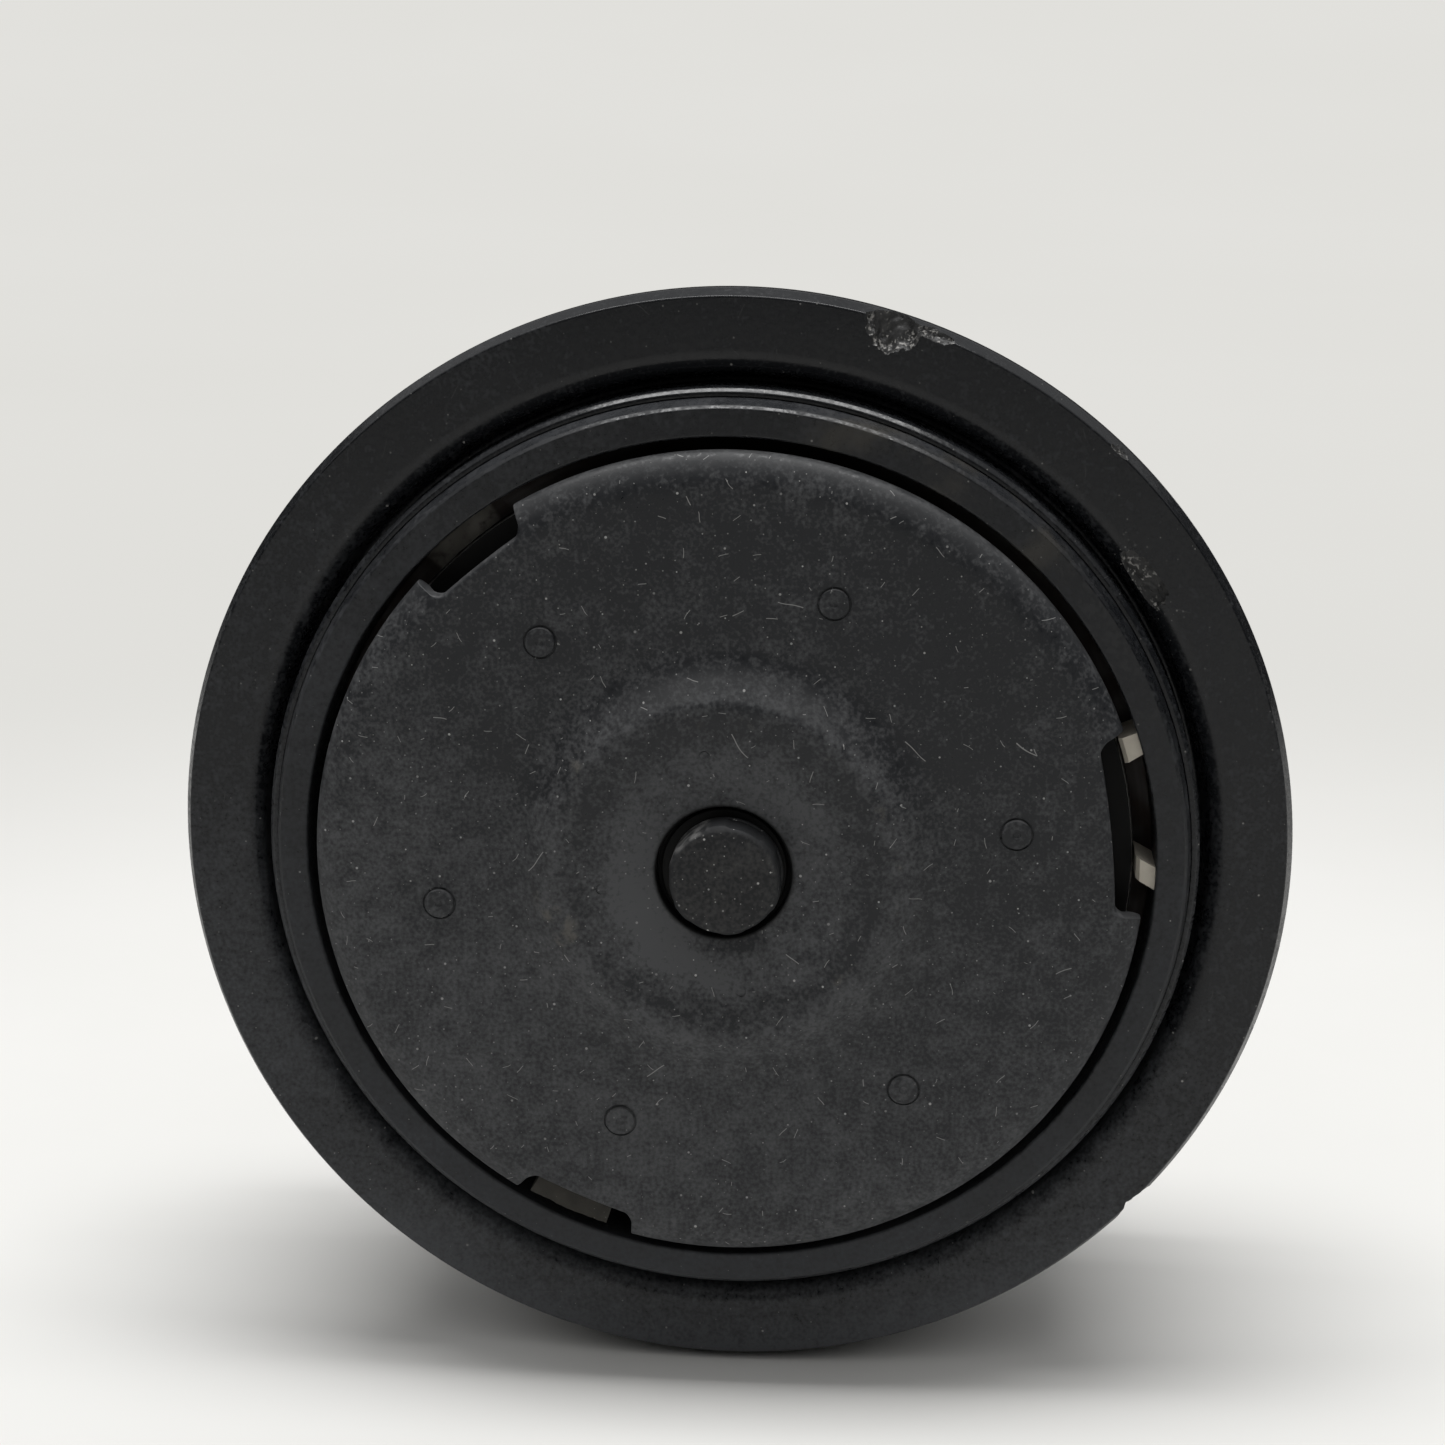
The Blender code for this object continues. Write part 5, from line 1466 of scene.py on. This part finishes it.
def build_bearing():
    """Two-row ball bearing with its rings, seals, balls and cage."""
    inner, outer = span("bearing_inner_ring"), span("bearing_outer_ring")
    seal, cage = span("bearing_seal_front"), span("bearing_cage")
    pitch = place_of("bearing_ball_front_1").length
    rows = {row: middle_of(f"bearing_ball_{row}_1") for row in ("front", "rear")}
    inner_side = [point for height in rows.values() for point in race(height, -1, pitch)]
    outer_side = [point for height in rows.values() for point in race(height, 1, pitch)]
    inner_land, outer_land = seal.inner - SEAM, seal.outer + SEAM
    dress("bearing_inner_ring", turned([
        (inner.inner, inner.front, 0.5), (inner_land, inner.front, 0.25), *inner_side,
        (inner_land, inner.rear, 0.25), (inner.inner, inner.rear, 0.5),
    ]), "bearing")
    dress("bearing_outer_ring", turned([
        (outer_land, outer.front, 0.25), (outer.outer, outer.front, 0.5), (outer.outer, outer.rear, 0.5),
        (outer_land, outer.rear, 0.25), *reversed(outer_side),
    ]), "bearing")
    add_seal("bearing_seal_front", 1)
    add_seal("bearing_seal_rear", -1)
    pockets = []
    for row, height in rows.items():
        for number in range(1, BALLS_PER_ROW + 1):
            node = f"bearing_ball_{row}_{number}"
            middle = place_of(node)
            pockets.append(radial_rod(middle, height, POCKET_RADIUS, POCKET_LENGTH))
            dress(node, sphere((*middle, height), BALL_RADIUS, BALL_FACETS), "bearing")
    cage_ring = Ring(pitch - CAGE_HALF_WIDTH, pitch + CAGE_HALF_WIDTH, cage.rear, cage.front)
    dress("bearing_cage", carved(plain_ring(cage_ring, 0.2), joined(pockets)), "nylon")


def add_seal(node, outside):
    """Rubber seal with a stepped outer face."""
    seal = span(node)
    face, back = (seal.front, seal.rear) if outside > 0 else (seal.rear, seal.front)
    low = face - outside * SEAL_STEP
    first, second, third, fourth = [part_way(seal.inner, seal.outer, share) for share in SEAL_SHARES]
    mesh = turned([
        (seal.inner, face, 0.1), (first, face, 0.1), (second, low, 0.12), (third, low, 0.12),
        (fourth, face, 0.1), (seal.outer, face, 0.1), (seal.outer, back, 0.1), (seal.inner, back, 0.1),
    ])
    dress(node, mesh, "rubber")


def radial_rod(middle, height, radius, length):
    """Cutter for a round hole that points at the axis."""
    work = bmesh.new()
    turn = Matrix.Rotation(math.atan2(middle.y, middle.x), 4, 'Z')
    lie_down = Matrix.Rotation(math.radians(90.0), 4, 'Y')
    bmesh.ops.create_cone(
        work, cap_ends=True, segments=SMALL_STEPS, radius1=radius, radius2=radius, depth=length,
        matrix=Matrix.Translation((*middle, height)) @ turn @ lie_down,
    )
    return finished(work)


def add_snap_ring(node, angle):
    """Flat spring ring with an opening and an eye at each end."""
    whole = span(node)
    opening_side = polar(1.0, angle)
    plain = [point.xy for point in local_points(node) if abs(point.xy.angle_signed(opening_side)) > SNAP_LUGS]
    ring = whole._replace(inner=min(point.length for point in plain))
    middle = (ring.inner + ring.outer) / 2
    half = SNAP_OPENING / 2
    reach = ring.outer - ring.inner
    gap = rectangle(middle - reach, middle + reach, -half, half)
    gap = moved(prism(gap, ring.rear - OVERCUT, ring.front + OVERCUT), angle=angle)
    eye_turn = (half + SNAP_EYE_INSET) / middle
    eyes = [polar(middle, angle + side * eye_turn) for side in (-1, 1)]
    holes = drills(eyes, SNAP_EYE, ring.rear, ring.front, SNAP_EDGE)
    dress(node, carved(plain_ring(ring, SNAP_EDGE), gap, holes), "spring")


def build_snap_rings():
    """Snap rings of the bearing, the nose and the coil."""
    for node, angle in SNAP_RINGS:
        add_snap_ring(node, math.radians(angle))


def build_coil_shell():
    """Steel channel of the coil, open to the front."""
    shell = span("coil_shell")
    inner, outer = shell.inner + COIL_WALL, shell.outer - COIL_WALL
    floor = shell.rear + COIL_WALL
    dress("coil_shell", turned([
        (shell.inner, shell.front, 0.3), (inner, shell.front, 0.3), (inner, floor, 0.4),
        (outer, floor, 0.4), (outer, shell.front, 0.3), (shell.outer, shell.front, 0.3),
        (shell.outer, shell.rear, 0.9), (shell.inner, shell.rear, 0.9),
    ]), "dark")


def build_bobbin():
    """Spool between two flanges."""
    bobbin = span("coil_bobbin")
    tube = bobbin.inner + BOBBIN_WALL
    front, rear = bobbin.front - BOBBIN_FLANGE, bobbin.rear + BOBBIN_FLANGE
    corners = (
        (bobbin.inner, bobbin.front), (bobbin.outer, bobbin.front), (bobbin.outer, front), (tube, front),
        (tube, rear), (bobbin.outer, rear), (bobbin.outer, bobbin.rear), (bobbin.inner, bobbin.rear),
    )
    dress("coil_bobbin", turned([(*corner, 0.2) for corner in corners], HIDDEN_STEPS), "nylon")


def build_winding():
    """Winding whose outside shows its turns of wire."""
    winding = span("coil_winding")
    wire = (winding.front - winding.rear) / WINDING_TURNS
    waist = winding.outer - wire / 2
    turns = []
    for i in range(WINDING_TURNS):
        for share in shares(WIRE_POINTS)[:-1]:
            bulge = wire / 2 * math.sin(math.pi * share)
            turns.append((waist + bulge, winding.front - (i + share) * wire, 0.0))
    dress("coil_winding", turned([
        (winding.inner, winding.front, 0.0), *turns, (waist, winding.rear, 0.0),
        (winding.inner, winding.rear, 0.0),
    ], HIDDEN_STEPS), "copper")


def build_coil():
    """Coil: its channel, bobbin, winding and potting."""
    build_coil_shell()
    build_bobbin()
    build_winding()
    dress("coil_potting", plain_ring(span("coil_potting"), 0.3, HIDDEN_STEPS), "resin")


def build_mounting_plate():
    """Plate that carries the coil, with its spot welds and pin."""
    plate = span("coil_mounting_plate")
    pin = place_of("locating_pin")
    weld_angle = math.atan2(pin.y, pin.x) + math.pi / WELDS
    dent_radius = (WELD_RADIUS ** 2 + WELD_DEPTH ** 2) / (2 * WELD_DEPTH)
    dent_height = plate.rear + WELD_DEPTH - dent_radius
    welds = [(*polar(WELD_CIRCLE, angle), dent_height) for angle in spread(weld_angle, WELDS)]
    dents = joined([sphere(place, dent_radius, DENT_FACETS) for place in welds])
    hole = drills([pin], PIN_HOLE, plate.rear, plate.front)
    dress("coil_mounting_plate", carved(plain_ring(plate, 0.35), hole, dents), "zinc")
    *_, rear, front = span("locating_pin")
    radius = head_radius("locating_pin")
    profile = [(0.0, front, 0.0), (radius, front, 0.3), (radius, rear, 0.7), (0.0, rear, 0.0)]
    dress("locating_pin", lathed(profile, pin), "rivet")


def terminal_points(node):
    """Vertices of the terminal block or a blade, turned so that the blades point along X."""
    undo = Matrix.Rotation(-TERMINAL_ANGLE, 4, 'Z')
    return [undo @ point for point in local_points(node)]


def build_terminals():
    """Terminal block with ribs, and two blades that stand in it."""
    points = terminal_points("terminal_block")
    low = Vector([min(values) for values in zip(*points)])
    high = Vector([max(values) for values in zip(*points)])
    work = bmesh.new()
    work.from_mesh(prism(rectangle(low.x, high.x, low.y, high.y), low.z, high.z))
    bmesh.ops.bevel(work, geom=work.edges[:], offset=BLOCK_EDGE, segments=4, affect='EDGES', profile=0.5)
    body = finished(work)
    middle = (low.z + high.z) / 2
    seat_half = BLADE_WIDTH / 2 + SEAM
    thick_half = BLADE_THICKNESS / 2 + SEAM
    cuts = []
    for offset in (-BLADE_OFFSET, BLADE_OFFSET):
        seat = rectangle(high.x - SEAT_DEPTH, high.x + OVERCUT, offset - seat_half, offset + seat_half)
        cuts.append(prism(seat, middle - thick_half, middle + thick_half))
    step = (high.x - low.x) / (BLOCK_RIBS + 1)
    for k in range(BLOCK_RIBS):
        x = low.x + (k + 1) * step
        slot = rectangle(x - BLOCK_SLOT, x + BLOCK_SLOT, low.y - OVERCUT, high.y + OVERCUT)
        cuts.append(prism(slot, low.z - OVERCUT, low.z + BLOCK_SLOT))
    block = moved(carved(body, joined(cuts)), angle=TERMINAL_ANGLE)
    dress("terminal_block", block, "moulded")
    add_blade("terminal_1", -BLADE_OFFSET, middle)
    add_blade("terminal_2", BLADE_OFFSET, middle)


def add_blade(node, offset, middle):
    """Tapered blade with an eye."""
    along = [point.x for point in terminal_points(node)]
    start, tip = min(along), max(along)
    half = BLADE_WIDTH / 2
    outline = [
        (start, -half), (tip - BLADE_TAPER, -half), (tip, -half * BLADE_TIP),
        (tip, half * BLADE_TIP), (tip - BLADE_TAPER, half), (start, half),
    ]
    low, high = middle - BLADE_THICKNESS / 2, middle + BLADE_THICKNESS / 2
    eye = drills([(tip - BLADE_EYE_INSET, 0.0)], BLADE_EYE, low, high, BLADE_EYE_CHAMFER)
    blade = moved(carved(prism(outline, low, high, BLADE_EDGE), eye), (0.0, offset))
    dress(node, moved(blade, angle=TERMINAL_ANGLE), "brass")


def build_floor():
    """Round pale floor that curves up into a backdrop."""
    corners = [
        (0.0, 0.0, 0.0), (FLOOR_RADIUS, 0.0, FLOOR_CURVE),
        (WALL_RADIUS, WALL_START, FLOOR_CURVE), (WALL_RADIUS, WALL_HEIGHT, 0.0),
    ]
    mesh = turned(corners, HALF_STEPS, closed=False)
    mesh.transform(Matrix.Translation((0.0, 0.0, cad_box[0].z - FLOOR_GAP)))
    mesh.shade_smooth()
    mesh.materials.append(pale_floor())
    floor = bpy.data.objects.new("floor", mesh)
    bpy.context.scene.collection.objects.link(floor)


def build_lights():
    """An even sky, and a soft lamp overhead that points at the object."""
    world = bpy.data.worlds.new("studio")
    bpy.context.scene.world = world
    world.use_nodes = True
    sky = world.node_tree.nodes["Background"]
    sky.inputs["Color"].default_value = (1.0, 1.0, 1.0, 1.0)
    sky.inputs["Strength"].default_value = SKY_LEVEL
    lamp = bpy.data.lights.new("overhead", 'AREA')
    lamp.shape = 'RECTANGLE'
    lamp.size, lamp.size_y = LAMP_SIZE
    lamp.energy = LAMP_POWER
    holder = bpy.data.objects.new("overhead", lamp)
    holder.location = LAMP_PLACE
    holder.rotation_euler = (-Vector(LAMP_PLACE)).to_track_quat('-Z', 'Y').to_euler()
    bpy.context.scene.collection.objects.link(holder)


def build_camera():
    """Camera at the photograph's viewing angle, aimed so that the rim lies where it does there."""
    centre = Vector((0.0, -AIM_DEPTH, 0.0))
    level = math.cos(CAMERA_ELEVATION)
    back = Vector((
        math.sin(CAMERA_AZIMUTH) * level, -math.cos(CAMERA_AZIMUTH) * level, math.sin(CAMERA_ELEVATION),
    ))
    place = centre + CAMERA_DISTANCE * back
    right = Vector((0.0, 0.0, 1.0)).cross(back).normalized()
    up = back.cross(right)
    aim = centre + AIM_ABOVE * up - AIM_LEFT * right
    camera = bpy.data.cameras.new("camera")
    camera.lens = CAMERA_LENS
    holder = bpy.data.objects.new("camera", camera)
    holder.location = place
    holder.rotation_euler = (aim - place).to_track_quat('-Z', 'Y').to_euler()
    bpy.context.scene.collection.objects.link(holder)
    bpy.context.scene.camera = holder


build_pulley()
build_rotor()
build_cover()
build_bolt()
build_hub()
build_fixings()
build_springs()
build_armature()
build_bearing()
build_snap_rings()
build_coil()
build_mounting_plate()
build_terminals()
build_floor()
build_lights()
build_camera()
bpy.context.scene.view_settings.view_transform = 'Standard'
bpy.context.view_layer.update()
